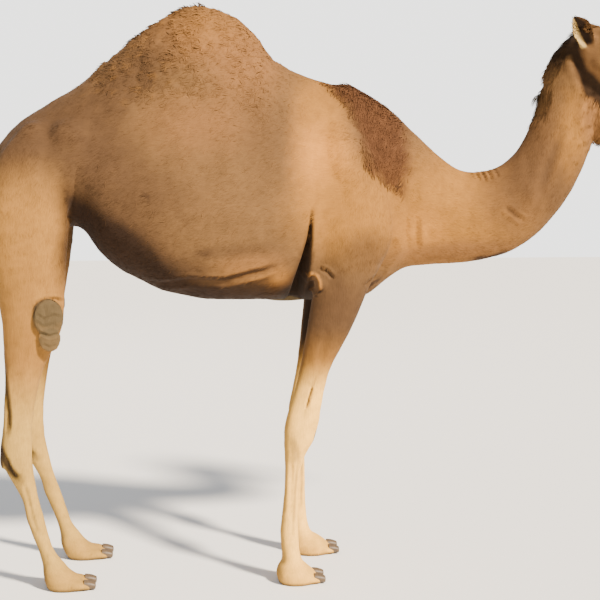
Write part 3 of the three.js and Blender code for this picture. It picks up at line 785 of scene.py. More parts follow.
@dataclass(frozen=True)
class Crease:
    """A fold drawn as a line: depth exp(-(d/width)^2), less a lip that stands up at 2.2 widths."""

    path: Table
    depth: float
    width: float
    lip: float = .25
    view: View = View.SIDE
    ends: tuple[float, float] = (.2, .2)
    beyond: float = -1e9
    ahead: bool = False

    def heights(self, points: Array, normals: Array) -> Array:
        """How far the fold moves each point along its normal; with `ahead`, only in front of the line."""
        box = np.asarray(self.path)
        i, j = self.view.value
        pad = self.width * 5
        flat = points[:, [i, j]]
        near = ((flat > box.min(0) - pad) & (flat < box.max(0) + pad)).all(1) & (points[:, 0] > self.beyond)
        result = np.zeros(len(points))
        if self.view is View.SIDE:
            near &= normals[:, 1] * np.sign(points[:, 1]) > 0.02
        if not near.any():
            return result
        gap, share = line_distance(flat[near], self.path)
        fade = smooth(share, -.001, self.ends[0]) * (1 - smooth(share, 1 - self.ends[1], 1.001))
        r = gap / self.width
        cut = -np.exp(-r * r) + self.lip * np.exp(-((r - 2.2) / .9) ** 2)
        face = smooth(np.abs(normals[near, 1]), .02, .4) if self.view is View.SIDE else 1.0
        if self.ahead:
            face = face * smooth(flat[near, 0] - np.interp(flat[near, 1], box[:, 1], box[:, 0]), -6, 6)
        result[near] = self.depth * cut * fade * face
        return result


@dataclass(frozen=True)
class Swell:
    """A muscle, bone or hollow: height exp(-q^2) with q the distance from its centre in its own radii."""

    at: Row
    radii: Row
    height: float
    lean: float = 0.0

    def heights(self, points: Array) -> Array:
        """How far it moves each point along its normal, the same on both sides."""
        c, s = math.cos(math.radians(self.lean)), math.sin(math.radians(self.lean))
        d = np.column_stack([points[:, 0], np.abs(points[:, 1]), points[:, 2]]) - self.at
        x, z = d[:, 0] * c + d[:, 2] * s, -d[:, 0] * s + d[:, 2] * c
        q = (x / self.radii[0]) ** 2 + (d[:, 1] / self.radii[1]) ** 2 + (z / self.radii[2]) ** 2
        return self.height * np.exp(-q)


@dataclass(frozen=True)
class Hollow:
    """A pocket drawn from the side as an outline; its depth grows by a smoothstep inwards from the edge."""

    outline: Table
    depth: float
    soft: float

    def heights(self, points: Array, normals: Array) -> Array:
        """How far it moves each point that faces sideways, the same on both sides."""
        box = np.asarray(self.outline)
        flat = points[:, [0, 2]]
        near = ((flat > box.min(0) - 5) & (flat < box.max(0) + 5)).all(1)
        near &= normals[:, 1] * np.sign(points[:, 1]) > .05
        result = np.zeros(len(points))
        if near.any():
            face = smooth(np.abs(normals[near, 1]), .05, .5)
            result[near] = -self.depth * smooth(inside(flat[near], self.outline), 0, self.soft) * face
        return result


ARMPIT: Table = (
    (21, 1300), (22, 1240), (20, 1160), (10, 1090), (-2, 1010), (-68, 1010), (-56, 1056), (-40, 1120),
    (-22, 1180), (-2, 1250), (11, 1300),
)


@dataclass(frozen=True)
class Relief:
    """The muscles, bones, folds and features that the fused skin is carved with."""

    hollows: tuple[Hollow, ...] = (
        Hollow(ARMPIT, 62, 22),
    )
    body: tuple[Crease, ...] = (
        Crease(((10, 1210), (15, 1290), (19, 1340), (22, 1380)), 15, 7, .05, ends=(.1, .6)),
        Crease(((-836, 1215), (-826, 1330), (-812, 1430), (-796, 1540)), 14, 62, .0, ends=(.02, .7),
               ahead=True),
        Crease(((-796, 1500), (-812, 1430), (-824, 1330), (-834, 1225)), 7, 8, .0, ends=(.6, .02)),
        Crease(((-340, 1204), (-321, 1194), (-251, 1197), (-157, 1217), (-59, 1255)), 3, 26, .3),
        Crease(((-617, 1098), (-512, 1091), (-408, 1105), (-285, 1103), (-155, 1137), (-74, 1172)),
               6, 10, .5),
        Crease(((388, 1460), (386, 1416), (383, 1344), (380, 1280), (388, 1218), (399, 1160)), 2.6, 22, .3),
        Crease(((412, 1330), (414, 1260), (424, 1190)), 2.5, 11, .5),
        Crease(((745, 1352), (768, 1335), (798, 1311), (826, 1296)), 3, 8, .5),
        Crease(((975, 1660), (948, 1594), (925, 1540), (905, 1485), (884, 1412), (862, 1350)), 6, 20, .3),
        Crease(((1020, 1700), (1000, 1600), (972, 1500), (940, 1410)), 4, 22, .2),
        Crease(((650, 1492), (655, 1452)), 2, 4.5, .6), Crease(((671, 1492), (682, 1442)), 3, 5, .6),
        Crease(((692, 1492), (704, 1446)), 2.6, 5, .6), Crease(((718, 1496), (729, 1456)), 2, 4.5, .6),
        Crease(((219, 1073), (240, 1094), (272, 1108)), 16, 9, .1, ends=(.1, .4)),
        Crease(((84, 1525), (118, 1440), (138, 1385), (163, 1260)), 4, 30, .3),
        Crease(((334, 1250), (300, 1180), (262, 1130)), 6, 20, .3),
        Crease(((2, 1088), (8, 1112), (22, 1126), (40, 1120), (50, 1098), (52, 1072), (44, 1050), (28, 1040)),
               -8, 6, .0, ends=(.05, .1)),
        Crease(((20, 1100), (27, 1078), (24, 1058)), 10, 8, .0),
        Crease(((44, 1146), (76, 1134), (98, 1106)), 6, 6, .5),
        Crease(((27, 724), (13, 680), (2, 636)), 8, 4.5, .3),
        Crease(((80, 940), (60, 860), (44, 780)), 4, 12, .3),
        Crease(((-1060, 812), (-1052, 723), (-1044, 634), (-1048, 556)), 9, 7, .3),
        Crease(((-1010, 800), (-1000, 700), (-1004, 600)), 3, 14, .3),
        Crease(((-30, 520), (-24, 430), (-34, 300), (-40, 200)), 3, 7, .4),
        Crease(((-1062, 500), (-1046, 440), (-1020, 400)), 5, 7, .3),
        Crease(((-50, 470), (-48, 400), (-50, 320), (-54, 220)), 4, 6, .3),
        Crease(((-1000, 400), (-985, 330), (-972, 260), (-950, 200)), 4, 6, .3),
        Crease(((-950, 1026), (-914, 1044), (-874, 1042), (-842, 1024)), 4, 6, .5),
        Crease(((-946, 1000), (-912, 976), (-880, 990), (-848, 978)), 3, 5, .7),
        Crease(((-936, 968), (-918, 948), (-880, 960), (-862, 940)), 2, 4.5, .7),
        Crease(((-916, 1034), (-906, 1000), (-918, 956)), 2, 5, .5),
        Crease(((-938, 934), (-896, 916), (-856, 926)), 4, 5, .7),
        Crease(((-924, 892), (-896, 876), (-868, 888)), 3, 5, .6),
    )
    face: tuple[Crease, ...] = (
        Crease(((1006, 1945), (1026, 1885), (1050, 1815), (1076, 1762)), 10, 15, .15, ends=(.2, .3)),
        Crease(((1470, 1797), (1430, 1797), (1380, 1792), (1330, 1796), (1290, 1806)), 6, 3.4, .5,
               ends=(.01, .2)),
        Crease(((0, 1886), (0, 1800)), 7, 3.5, .4, View.FRONT, (.2, .02), 1455),
        Crease(((1459, 1860), (1450, 1870), (1438, 1877), (1424, 1878)), 8, 4, .45, ends=(.25, .3)),
        Crease(((1226, 1908), (1250, 1880), (1290, 1850)), 2.5, 8, .3),
        Crease(((1120, 1902), (1150, 1892), (1190, 1888), (1230, 1886)), 2.5, 9, .3),
        Crease(((1300, 1812), (1312, 1836), (1330, 1850)), 2.5, 6, .4),
        Crease(((1404, 1838), (1400, 1862), (1392, 1880)), 2, 6, .3),
    )
    folds: tuple[Crease, ...] = (
        Crease(((1050, 1700), (1080, 1745), (1100, 1770)), 6, 9, .4),
        Crease(((1040, 1640), (1066, 1690), (1086, 1722)), 5, 9, .4),
        Crease(((1026, 1580), (1050, 1622), (1078, 1650)), 5, 10, .4),
        Crease(((1004, 1520), (1030, 1560), (1056, 1590)), 4, 10, .4),
    )
    swells: tuple[Swell, ...] = (
        Swell((130, 210, 1480), (70, 90, 190), 7, -8), Swell((250, 190, 1230), (90, 90, 80), 8),
        Swell((120, 230, 1215), (80, 90, 90), 7), Swell((330, 120, 1190), (60, 80, 70), 5),
        Swell((-960, 220, 1330), (110, 90, 220), 6), Swell((-860, 190, 1530), (60, 80, 90), 5),
        Swell((-1060, 150, 1420), (60, 80, 120), 5), Swell((-1000, 110, 1660), (90, 80, 50), 6),
        Swell((-104, 190, 1076), (44, 90, 42), 9), Swell((-210, 300, 1400), (150, 80, 170), -5),
        Swell((-560, 290, 1330), (160, 90, 150), 4), Swell((-780, 215, 1420), (70, 70, 110), -9),
        Swell((560, 90, 1330), (120, 60, 60), 3), Swell((820, 84, 1420), (50, 50, 110), 3, 30),
        Swell((150, 245, 890), (50, 60, 110), 5), Swell((20, 236, 640), (40, 40, 60), 2),
        Swell((-1000, 240, 760), (50, 50, 130), 4), Swell((-990, 238, 470), (40, 40, 40), 3),
        Swell((1150, 92, 1928), (30, 40, 16), -4), Swell((1236, 60, 1960), (40, 30, 14), -3, 12),
        Swell((1300, 50, 1880), (60, 40, 20), -4, 10), Swell((1236, 76, 1890), (44, 30, 12), 3.5, 18),
        Swell((1120, 92, 1850), (46, 40, 44), 4), Swell((1210, 74, 1820), (60, 30, 20), -3),
        Swell((1440, 44, 1890), (26, 20, 9), 3, 20), Swell((1436, 40, 1812), (24, 30, 12), 3),
        Swell((1196, 66, 1952), (34, 26, 9), 5, -6), Swell((1190, 76, 1900), (26, 20, 8), 2.5, -10),
        Swell((1180, 60, 1988), (40, 26, 18), 4, 14), Swell((1080, 0, 2016), (44, 44, 26), 5),
        Swell((1090, 70, 1990), (26, 30, 26), -5), Swell((1340, 0, 1932), (70, 22, 24), 2.5),
    )

    def heights(self, points: Array, normals: Array) -> Array:
        """The sum of every crease and swelling, and the shallow unevenness of live flesh."""
        home = homed(points)
        total = sum(c.heights(home, normals) for c in self.body + self.face + self.folds + self.hollows)
        total += sum(s.heights(home) for s in self.swells)
        trunk = smooth(points[:, 2], 950, 1150) * (1 - smooth(points[:, 0], 300, 500))
        total += ripple(points * (1, 1, .55), 190, 3) * 3.2 * trunk + ripple(points, 70, 4) * .8
        wool = smooth(points[:, 2] + .2 * (points[:, 0] + 360), 1640, 1800) * (points[:, 0] < -40)
        total += wool * (ripple(points, 58, 6) * 2.6 + ripple(points, 30, 7) * 1.5)
        return total


@dataclass(frozen=True)
class Eye:
    """An eyeball in its socket, with the lids that the skin forms round it."""

    at: Row = (EYE_X, 70, EYE_Z)
    radius: float = 21.0
    opening: tuple[float, float] = (20.5, 12.5)
    lean: float = -8.0
    lid: float = 3.2

    def centre(self, side: int) -> Array:
        """The middle of the eyeball."""
        return np.array([self.at[0], self.at[1] * side, self.at[2]])

    def lids(self, points: Array) -> Array:
        """Draws the skin round each eyeball: under it in the opening, and over it as lids.

        With a the distance from the opening's middle in its own half sizes, a point's distance from
        the eyeball's centre becomes r - 5 within the opening, r + lid just outside it, and then goes
        back to where it was by a = 2.3.
        """
        result = points.copy()
        c, s = math.cos(math.radians(self.lean)), math.sin(math.radians(self.lean))
        for side in (-1, 1):
            offset = points - self.centre(side)
            dx, dz = offset[:, 0] * c + offset[:, 2] * s, -offset[:, 0] * s + offset[:, 2] * c
            high = np.where(dz > 0, self.opening[1] * 1.1, self.opening[1] * .9)
            a = np.sqrt((dx / self.opening[0]) ** 2 + (dz / high) ** 2)
            near = (a < 2.3) & (offset[:, 1] * side > -4)
            reach = np.linalg.norm(offset, axis=1)
            lid = self.radius - 5 + (5 + self.lid) * smooth(a, .93, 1.1) - 1.2 * smooth(a, 1.15, 1.5)
            target = lid + (reach - lid) * smooth(a, 1.25, 2.3)
            moved = self.centre(side) + offset * (target / np.maximum(reach, 1e-6))[:, None]
            result[near] = moved[near]
        return result

    def ball(self, side: int) -> Shell:
        """The eyeball, its rings round the line of sight, with the cornea standing a little proud."""
        around, rings = 48, 30
        down = np.linspace(0, math.pi, rings + 1)[1:-1, None]
        a = np.arange(around)[None] / around * 2 * math.pi
        reach = self.radius + 1.3 * (1 - smooth(down, .3, .75))
        grid = np.stack([reach * np.sin(down) * np.cos(a), reach * np.cos(down) + 0 * a,
                         reach * np.sin(down) * np.sin(a)], -1)
        grid[..., 1] *= side
        tip = self.centre(side) + (0, (self.radius + 1.3) * side, 0)
        return tube(grid + self.centre(side), tip, self.centre(side) - (0, self.radius * side, 0))


# ---- skin -----------------------------------------------------------------------------------------
def relaxed(shell: Shell, weight: Array, rounds: int) -> Shell:
    """Each point moves `weight` of the way to the mean of its neighbours, over and over.

    Args:
        shell: the surface.
        weight: from 0 to 1 for each point.
        rounds: how many times.

    Returns:
        The same faces with smoother points.
    """
    moving = np.flatnonzero(weight > 1e-3)
    edges = shell.edges()
    both = np.vstack([edges, edges[:, ::-1]])
    place = np.full(len(shell.points), -1)
    place[moving] = np.arange(len(moving))
    both = both[place[both[:, 0]] >= 0]
    home, other = place[both[:, 0]], both[:, 1]
    degree = np.maximum(np.bincount(home, minlength=len(moving)), 1)[:, None]
    points, share = shell.points.copy(), weight[moving, None]
    for _ in range(rounds):
        around = points[other]
        total = np.stack([np.bincount(home, around[:, k], len(moving)) for k in range(3)], 1)
        points[moving] += share * (total / degree - points[moving])
    return Shell(points, shell.quads, shell.tris)


def soft_ball(points: Array, at: Row, radii: Row) -> Array:
    """1 inside an ellipsoid that stands on both sides of the animal, falling to 0 at twice its radii."""
    d = (np.column_stack([points[:, 0], np.abs(points[:, 1]), points[:, 2]]) - at) / radii
    return 1 - smooth(np.linalg.norm(d, axis=1), 1, 2)


@dataclass
class Skin:
    """The one skin: every form fused, blended, carved and thinned out where it is plain."""

    plan: BodyPlan
    relief: Relief = Relief()
    eye: Eye = Eye()
    voxel: float = 4.0
    faces: int = 192000

    def coat_depth(self, p: Array) -> Array:
        """How thick the coat is over each point, so how far the skin lies inside the solids."""
        depth = 3.0 + 3.5 * smooth(p[:, 2], 900, 1200) * (1 - smooth(p[:, 0], 900, 1050))
        depth += 5.0 * soft_ball(p, (-400, 0, 1980), (260, 260, 160))
        depth += 4.0 * soft_ball(p, (240, 0, 1700), (110, 130, 130))
        depth += 12.0 * soft_ball(p, (878, 0, 1765), (34, 60, 66))
        depth -= 4.5 * soft_ball(p, (-330, 0, 1020), (330, 160, 50))
        depth -= 1.6 * (1 - smooth(p[:, 2], 60, 160))
        return depth - 1.6 * smooth(p[:, 0], 1100, 1250) * smooth(p[:, 2], 1700, 1760)

    def fused(self) -> Shell:
        """The forms joined, and their outer surface taken by a voxel remesh."""
        rough = mesh_object("forms", joined(self.plan.shells()), place=False)
        remesh = rough.modifiers.new("fuse", "REMESH")
        remesh.mode = "VOXEL"
        remesh.voxel_size = self.voxel * 1.0
        return read_shell(rough)

    def blended(self, shell: Shell) -> Shell:
        """Softens the voxel steps everywhere, and the joins of legs, neck, hips and pads much more."""
        p = shell.points
        weight = np.full(len(p), .0)
        for at, radii in (((170, 170, 1480), (170, 120, 240)), ((320, 130, 1240), (120, 130, 260)),
                          ((-970, 150, 1520), (170, 120, 180)), ((-820, 150, 1600), (90, 90, 80)),
                          ((120, 0, 1780), (150, 90, 70)), ((-1090, 0, 1540), (60, 60, 70))):
            weight = np.maximum(weight, soft_ball(p, at, radii))
        for at, radii in (((1100, 60, 1880), (70, 60, 80)), ((1030, 0, 1780), (60, 60, 110)),
                          ((60, 188, 505), (70, 60, 50)), ((270, 150, 1120), (90, 110, 130)),
                          ((1110, 0, 1740), (40, 50, 60))):
            weight = np.maximum(weight, .3 * soft_ball(p, at, radii))
        shell = relaxed(shell, weight * .6, 90)
        groin = .5 * soft_ball(p, (-900, 60, 1230), (150, 110, 90)) + .4 * soft_ball(p, (60, 80, 1090),
                                                                                 (140, 80, 60))
        shell = relaxed(shell, np.minimum(groin, .6), 40)
        sharp = (soft_ball(p, (1060, 90, 1990), (40, 40, 50)) + (p[:, 2] < 3)) > .3
        return relaxed(shell, np.where(sharp, .2, .5), 7)

    def thinned(self, shell: Shell) -> Shell:
        """Fewer faces where the form is plain; the head and feet keep all of theirs."""
        obj = mesh_object("dense", shell, place=False)
        p = shell.points
        head = smooth(p[:, 0] * .5 + p[:, 2] * .87, 2040, 2090) * smooth(p[:, 0], 940, 980)
        keep = np.clip(head + .8 * (1 - smooth(p[:, 2], 70, 110)), 0, 1)
        group = obj.vertex_groups.new(name="plain")
        level = np.round((1 - keep) * 5).astype(int)
        for step in range(1, 6):
            group.add(np.flatnonzero(level == step).tolist(), step / 5, "REPLACE")
        thin = obj.modifiers.new("thin", "DECIMATE")
        thin.ratio = min(1.0, self.faces / len(shell.triangles()))
        thin.vertex_group = group.name
        thin.vertex_group_factor = 1.0
        return read_shell(obj)

    def build(self) -> Shell:
        """The finished skin in the straight frame."""
        shell = self.blended(self.fused())
        normals = shell.normals()
        moved = shell.points - normals * self.coat_depth(shell.points)[:, None]
        sole = smooth(shell.points[:, 2], 0, 8)
        carve = self.relief.heights(moved, normals) * sole
        moved = moved + normals * carve[:, None]
        moved[:, 2] = np.where(shell.points[:, 2] < 6, np.maximum(shell.points[:, 2], 0), moved[:, 2])
        moved = self.eye.lids(moved)
        return self.thinned(Shell(moved, shell.quads, shell.tris)).facing_out()


# ---- markings -------------------------------------------------------------------------------------
def linear(hexed: str) -> tuple[float, float, float]:
    """A linear colour from sRGB hex: c/12.92 below 0.04045, else ((c + 0.055)/1.055)^2.4."""
    parts = (int(hexed[k:k + 2], 16) / 255 for k in (1, 3, 5))
    return tuple(c / 12.92 if c <= .04045 else ((c + .055) / 1.055) ** 2.4 for c in parts)


class Hue(Enum):
    """The colours of the coat and the bare skin, some of them also laid as painted shade and highlight."""

    # DUSK, UMBER and BROWN are also laid as painted shade in creases, hollows and undersides; PALE_SAND also
    # as a painted highlight on the elbow's fold.
    FAWN = "#6a4d2e"
    TAN = "#7e5732"
    SAND = "#92642b"
    PALE_SAND = "#bd7f36"
    GOLD = "#956931"
    WHEAT = "#b28d45"
    CREAM = "#f5bd58"
    RUSSET = "#4a2e1d"
    BROWN = "#4e3824"
    UMBER = "#2c1e14"
    DUSK = "#221811"
    # The grey of bare pads and soles; also laid as painted shadow at the back of the knee.
    GREY_HIDE = "#554730"
    # Dark hair of the poll, nape and tail; also laid as painted shadow under the jaw and over the top of the
    # nape.
    DARK_HAIR = "#1b120c"
    # Pale hair on the ear's rear edge, painted brighter as a highlight.
    EAR_RIM = "#bd9e62"
    LIP = "#57432f"

    @property
    def rgb(self) -> Array:
        """The colour, linear."""
        return np.array(linear(self.value))


def inside(flat: Array, outline: Table) -> Array:
    """Signed distance to a closed outline in a plane: positive inside it.

    The size is the distance to the nearest edge. The sign comes from how many edges a ray towards
    +first axis crosses.
    """
    nodes = np.asarray(outline, float)
    gap, _ = line_distance(flat, tuple(map(tuple, np.vstack([nodes, nodes[:1]]))))
    crossings = np.zeros(len(flat), bool)
    for p, q in zip(nodes, np.roll(nodes, -1, axis=0)):
        spans = (p[1] > flat[:, 1]) != (q[1] > flat[:, 1])
        rise = q[1] - p[1] if q[1] != p[1] else 1e-9
        crossings ^= spans & (flat[:, 0] < (q[0] - p[0]) * (flat[:, 1] - p[1]) / rise + p[0])
    return np.where(crossings, gap, -gap)


def limb_span(x: Array, z: Array) -> Array:
    """1 along the body where the limbs hang, and 0 under the barrel between them."""
    under = np.maximum(smooth(x, -100, -50), 1 - smooth(x, -840, -790))
    return np.maximum(under, 1 - smooth(z, 900, 960))


@dataclass(frozen=True)
class Mark:
    """A soft-edged area of one colour, drawn from the side as an oval or an outline.

    An oval's share is 1 - smoothstep over its edge, from 1 - soft to 1 + soft of its radii. An
    outline's runs over `soft` millimetres each side of its line. Both edges are moved by a ripple.
    """

    hue: Hue
    share: float
    at: Row = ()
    radii: Row = ()
    lean: float = 0.0
    soft: float = .6
    outline: Table = ()
    ragged: float = 0.0
    grain: float = 60.0

    def amount(self, points: Array) -> Array:
        """How much of the colour lies on each point."""
        uneven = ripple(points, self.grain, 11) * self.ragged if self.ragged else 0.0
        if self.outline:
            gap = inside(points[:, [0, 2]], self.outline) + uneven
            return self.share * smooth(gap, -self.soft, self.soft)
        c, s = math.cos(math.radians(self.lean)), math.sin(math.radians(self.lean))
        dx, dz = points[:, 0] - self.at[0], points[:, 2] - self.at[1]
        x, z = (dx * c + dz * s) / self.radii[0], (-dx * s + dz * c) / self.radii[1]
        return self.share * (1 - smooth(np.hypot(x, z) + uneven, 1 - self.soft, 1 + self.soft))


@dataclass(frozen=True)
class Streak:
    """A line of one colour, drawn from the side: 1 at the line, falling to 0 at its width."""

    hue: Hue
    share: float
    path: Table
    width: float

    def amount(self, points: Array) -> Array:
        """How much of the colour lies on each point."""
        gap, share = line_distance(points[:, [0, 2]], self.path)
        fade = smooth(share, -.001, .15) * (1 - smooth(share, .85, 1.001))
        return self.share * (1 - smooth(gap, self.width * .25, self.width)) * (.4 + .6 * fade)


WOOL_OUTLINE: Table = (
    (50, 1850), (78, 1806), (141, 1752), (170, 1725), (188, 1665), (209, 1615), (205, 1573), (217, 1517),
    (259, 1474), (288, 1446), (345, 1411), (367, 1390), (374, 1454), (390, 1489), (394, 1539), (394, 1616),
    (384, 1660), (350, 1720), (280, 1790), (220, 1850), (120, 1880),
)


@dataclass(frozen=True)
class Markings:
    """The colours of the animal, read by the skin and by every tuft of the coat."""

    ground: tuple[Mark, ...] = (
        Mark(Hue.TAN, .9, (-330, 1965), (210, 100), -8, .8),
        Mark(Hue.SAND, .3, (-310, 1990), (130, 70), -8, .8),
        Mark(Hue.TAN, .8, (-200, 1850), (120, 120), 0, .8),
        Mark(Hue.TAN, .7, (-360, 1655), (170, 90), 0, .9, ragged=.2),
        # Browns over the rear of the hump, the rump and the flank: partly the coat's darker hair, partly
        # painted shade, darkest in front of the thigh where its shadow falls.
        Mark(Hue.BROWN, .8, (-620, 1800), (200, 80), 42, .8, ragged=.25),
        Mark(Hue.BROWN, .85, (-880, 1665), (200, 100), 26, .8, ragged=.1),
        Mark(Hue.BROWN, .9, (-980, 1560), (160, 105), 40, .8, ragged=.2),
        Mark(Hue.BROWN, .95, (-720, 1540), (120, 155), 8, .8, ragged=.2),
        Mark(Hue.BROWN, .7, (-560, 1420), (150, 100), -24, .8, ragged=.2),
        Mark(Hue.BROWN, .4, (-130, 1625), (100, 130), 20, .9, ragged=.2),
        Mark(Hue.GOLD, 1, (-965, 1225), (180, 235), 4, .5),
        Mark(Hue.PALE_SAND, 1, (72, 1500), (88, 190), 6, .8),
        Mark(Hue.SAND, .8, (66, 1720), (80, 100), 8, .8),
        Mark(Hue.SAND, 1, (150, 1350), (180, 150), 0, .7),
        Mark(Hue.SAND, 1, (560, 1330), (300, 210), 10, .6),
        Mark(Hue.PALE_SAND, .35, (440, 1250), (90, 80), 0, .8),
        Mark(Hue.TAN, .8, (560, 1185), (240, 40), 3, .7),
        Mark(Hue.TAN, .7, (850, 1490), (130, 210), -28, .8, ragged=.15),
        Mark(Hue.BROWN, .8, (820, 1480), (115, 200), -28, .9, ragged=.15),
        Mark(Hue.BROWN, .6, (950, 1420), (50, 120), -24, .8, ragged=.1),
        Mark(Hue.SAND, .8, (1020, 1640), (60, 150), -14, .8, ragged=.2),
        Mark(Hue.TAN, .9, (1105, 1690), (60, 100), -8, .7),
        Mark(Hue.PALE_SAND, .3, (-190, 1130), (110, 50), 0, .8),
        Mark(Hue.BROWN, .6, (212, 1215), (80, 60), 0, .8),
        Mark(Hue.TAN, .5, (-180, 1170), (110, 40), 4, .8),
    )
    over: tuple[Mark, ...] = (
        Mark(Hue.RUSSET, .86, soft=32, outline=WOOL_OUTLINE, ragged=13, grain=66),
        Mark(Hue.DUSK, .5, (290, 1450), (9, 14), 30, .5), Mark(Hue.DUSK, .65, (350, 1438), (10, 20), -24, .5),
        # The dark lower flank and belly: dirt on the coat and painted shade together, darkest towards the
        # groin and under the barrel.
        Mark(Hue.BROWN, .7, soft=60, ragged=16, grain=130, outline=(
            (-840, 1490), (-790, 1460), (-700, 1430), (-600, 1370), (-530, 1310), (-470, 1240), (-410, 1190),
            (-340, 1130), (-200, 1090), (-60, 1060), (-60, 980), (-860, 980))),
        Mark(Hue.UMBER, .98, soft=38, ragged=16, grain=150, outline=(
            (-840, 1425), (-790, 1390), (-712, 1360), (-610, 1296), (-542, 1242), (-490, 1180), (-440, 1134),
            (-372, 1098), (-280, 1070), (-150, 1042), (-60, 1034), (-60, 980), (-860, 980))),
        # Painted shade where the crease low on the belly begins.
        Mark(Hue.UMBER, .55, (-352, 1208), (22, 13), 0, .6),
        Mark(Hue.PALE_SAND, .6, (-90, 1092), (34, 44), -10, .8),
        # Painted shade along the crease low on the belly.
        Mark(Hue.BROWN, .5, (-240, 1213), (130, 22), 4, .8),
        # Painted shade in the hollow between the foreleg and the chest.
        Mark(Hue.DUSK, .93, soft=9, outline=ARMPIT),
    )
    # Painted shadow under the jaw and down behind the cheek, joined to the dark poll hair behind the ear.
    jaw: Mark = Mark(Hue.DARK_HAIR, .9, soft=12, ragged=5, outline=(
        (1006, 1990), (958, 1945), (920, 1885), (934, 1864), (972, 1892), (1006, 1900), (1022, 1856),
        (1044, 1800), (1060, 1752), (1110, 1734), (1180, 1742), (1180, 1775), (1120, 1800),
        (1074, 1846), (1052, 1900), (1040, 1960), (1040, 1990)))
    streaks: tuple[Streak, ...] = (
        # Painted shade along the underside of the neck.
        Streak(Hue.UMBER, .9, ((640, 1158), (707, 1160), (774, 1182)), 15),
        # Painted shade in the slit at the top of the hollow behind the foreleg.
        Streak(Hue.DUSK, .85, ((12, 1230), (15, 1290), (19, 1345)), 8),
        # Painted highlight on the lit edge of the fold at the elbow.
        Streak(Hue.PALE_SAND, .5, ((12, 1118), (22, 1126), (40, 1120), (50, 1098), (52, 1072)), 9),
        # Painted shade in the crease inside the elbow's fold.
        Streak(Hue.UMBER, .7, ((20, 1102), (27, 1078), (23, 1056)), 10),
        # Painted shade in the crease in front of the elbow.
        Streak(Hue.UMBER, .4, ((44, 1146), (76, 1134), (100, 1104)), 7),
        Streak(Hue.BROWN, .5, ((100, 1130), (120, 1060), (110, 960)), 40),
        Streak(Hue.DUSK, .85, ((27, 724), (13, 680), (2, 636)), 5),
        # Painted shadow at the back of the knee.
        Streak(Hue.GREY_HIDE, .5, ((-50, 545), (-38, 493), (-28, 440)), 20),
        # Painted shade in the groove down the side of the fore cannon.
        Streak(Hue.BROWN, .45, ((-28, 430), (-38, 300), (-44, 190)), 8),
        # Painted shade in the groove in front of the hind leg's tendon.
        Streak(Hue.UMBER, .85, ((-1062, 812), (-1054, 723), (-1045, 634), (-1050, 556)), 10),
        # Dark crescent behind the hock: the pad's dark skin with painted shade over it.
        Streak(Hue.DUSK, .95, ((-1086, 540), (-1064, 478), (-1042, 436), (-1010, 400)), 23),
        Streak(Hue.UMBER, .7, ((-560, 1420), (-552, 1405), (-544, 1388)), 6),
        # Painted shade along the fold of skin low on the belly.
        Streak(Hue.BROWN, .5, ((-430, 1123), (-285, 1100), (-155, 1134), (-90, 1166)), 12),
        # Painted shade in the groove down the side of the neck.
        Streak(Hue.BROWN, .6, ((950, 1600), (925, 1540), (905, 1485), (887, 1420)), 26),
        # Painted shade in a crease low on the neck.
        Streak(Hue.UMBER, .5, ((749, 1350), (770, 1333), (798, 1311)), 7),
        # Painted shade in a wrinkle on top of the neck.
        Streak(Hue.UMBER, .45, ((672, 1488), (681, 1452)), 6),
        # Painted shadow in the notch between the foreleg and the breast.
        Streak(Hue.UMBER, .85, ((230, 1050), (262, 1075), (294, 1090)), 11),
    )

    def colours(self, points: Array, normals: Array) -> Array:
        """The linear colour at points of the straight frame whose skin faces the given ways."""
        home = homed(points)
        x, y, z = home.T
        colour = np.tile(Hue.FAWN.rgb, (len(points), 1))

        def lay(hue: Hue, amount: Array) -> None:
            """Lays a colour over what is there by an amount from 0 to 1."""
            k = np.clip(amount, 0, 1)[:, None]
            colour[:] = colour * (1 - k) + hue.rgb * k

        legs = (1 - smooth(z, 1000, 1220)) * smooth(np.abs(y), 60, 130) * limb_span(x, z)
        fore = legs * smooth(x, -260, -160)
        # Faces of the legs that turn towards the other side; below, those of the forelegs carry painted
        # shade.
        inward = smooth(-normals[:, 1] * np.sign(y), .1, .6) * legs
        for mark in self.ground:
            lay(mark.hue, mark.amount(home))
        lay(Hue.GOLD, (legs - fore) * .95)
        lay(Hue.BROWN, fore * .9)
        lay(Hue.SAND, fore * (1 - smooth(z, 760, 950)) * .9)
        lay(Hue.CREAM, fore * (1 - smooth(z, 660, 830)))
        lay(Hue.WHEAT, (legs - fore) * (1 - smooth(z, 560, 840)))
        lay(Hue.SAND, legs * (1 - smooth(z, 40, 110)) * .3)
        # Painted shade on the faces of the lower legs that turn back, away from the key light.
        lay(Hue.BROWN, legs * smooth(-normals[:, 0], .55, .95) * (1 - smooth(z, 800, 950)) * .55)
        # Painted shade on the inner faces of the forelegs' upper part, where one leg shades the other.
        lay(Hue.DUSK, fore * inward * smooth(z, 700, 860) * .95)
        for mark in self.over:
            leg = legs if mark.hue in (Hue.UMBER, Hue.BROWN) else 0
            lay(mark.hue, mark.amount(home) * (1 - leg))
        # Painted shade on faces that look down: the underside of the barrel, and a darker strip under the
        # chest between the forelegs.
        under = smooth(-normals[:, 2], .25, .8) * smooth(-x, -120, 0) * smooth(z, 960, 1020)
        lay(Hue.UMBER, under * .85)
        lay(Hue.DUSK, smooth(-normals[:, 2], .2, .7) * smooth(x, -150, -60) * (1 - smooth(x, 60, 150))
            * smooth(z, 950, 990) * (1 - smooth(z, 1060, 1120)) * .9)
        head = smooth(x * .5 + z * .87, 2055, 2110) * smooth(x, 990, 1040)
        crown = smooth(z, 1700, 1790) * head
        lay(Hue.FAWN, crown * .85)
        lay(Hue.TAN, crown * (.3 + .5 * smooth(x, 1190, 1330)))
        lay(Hue.LIP, smooth(x, 1395, 1460) * crown * .7)
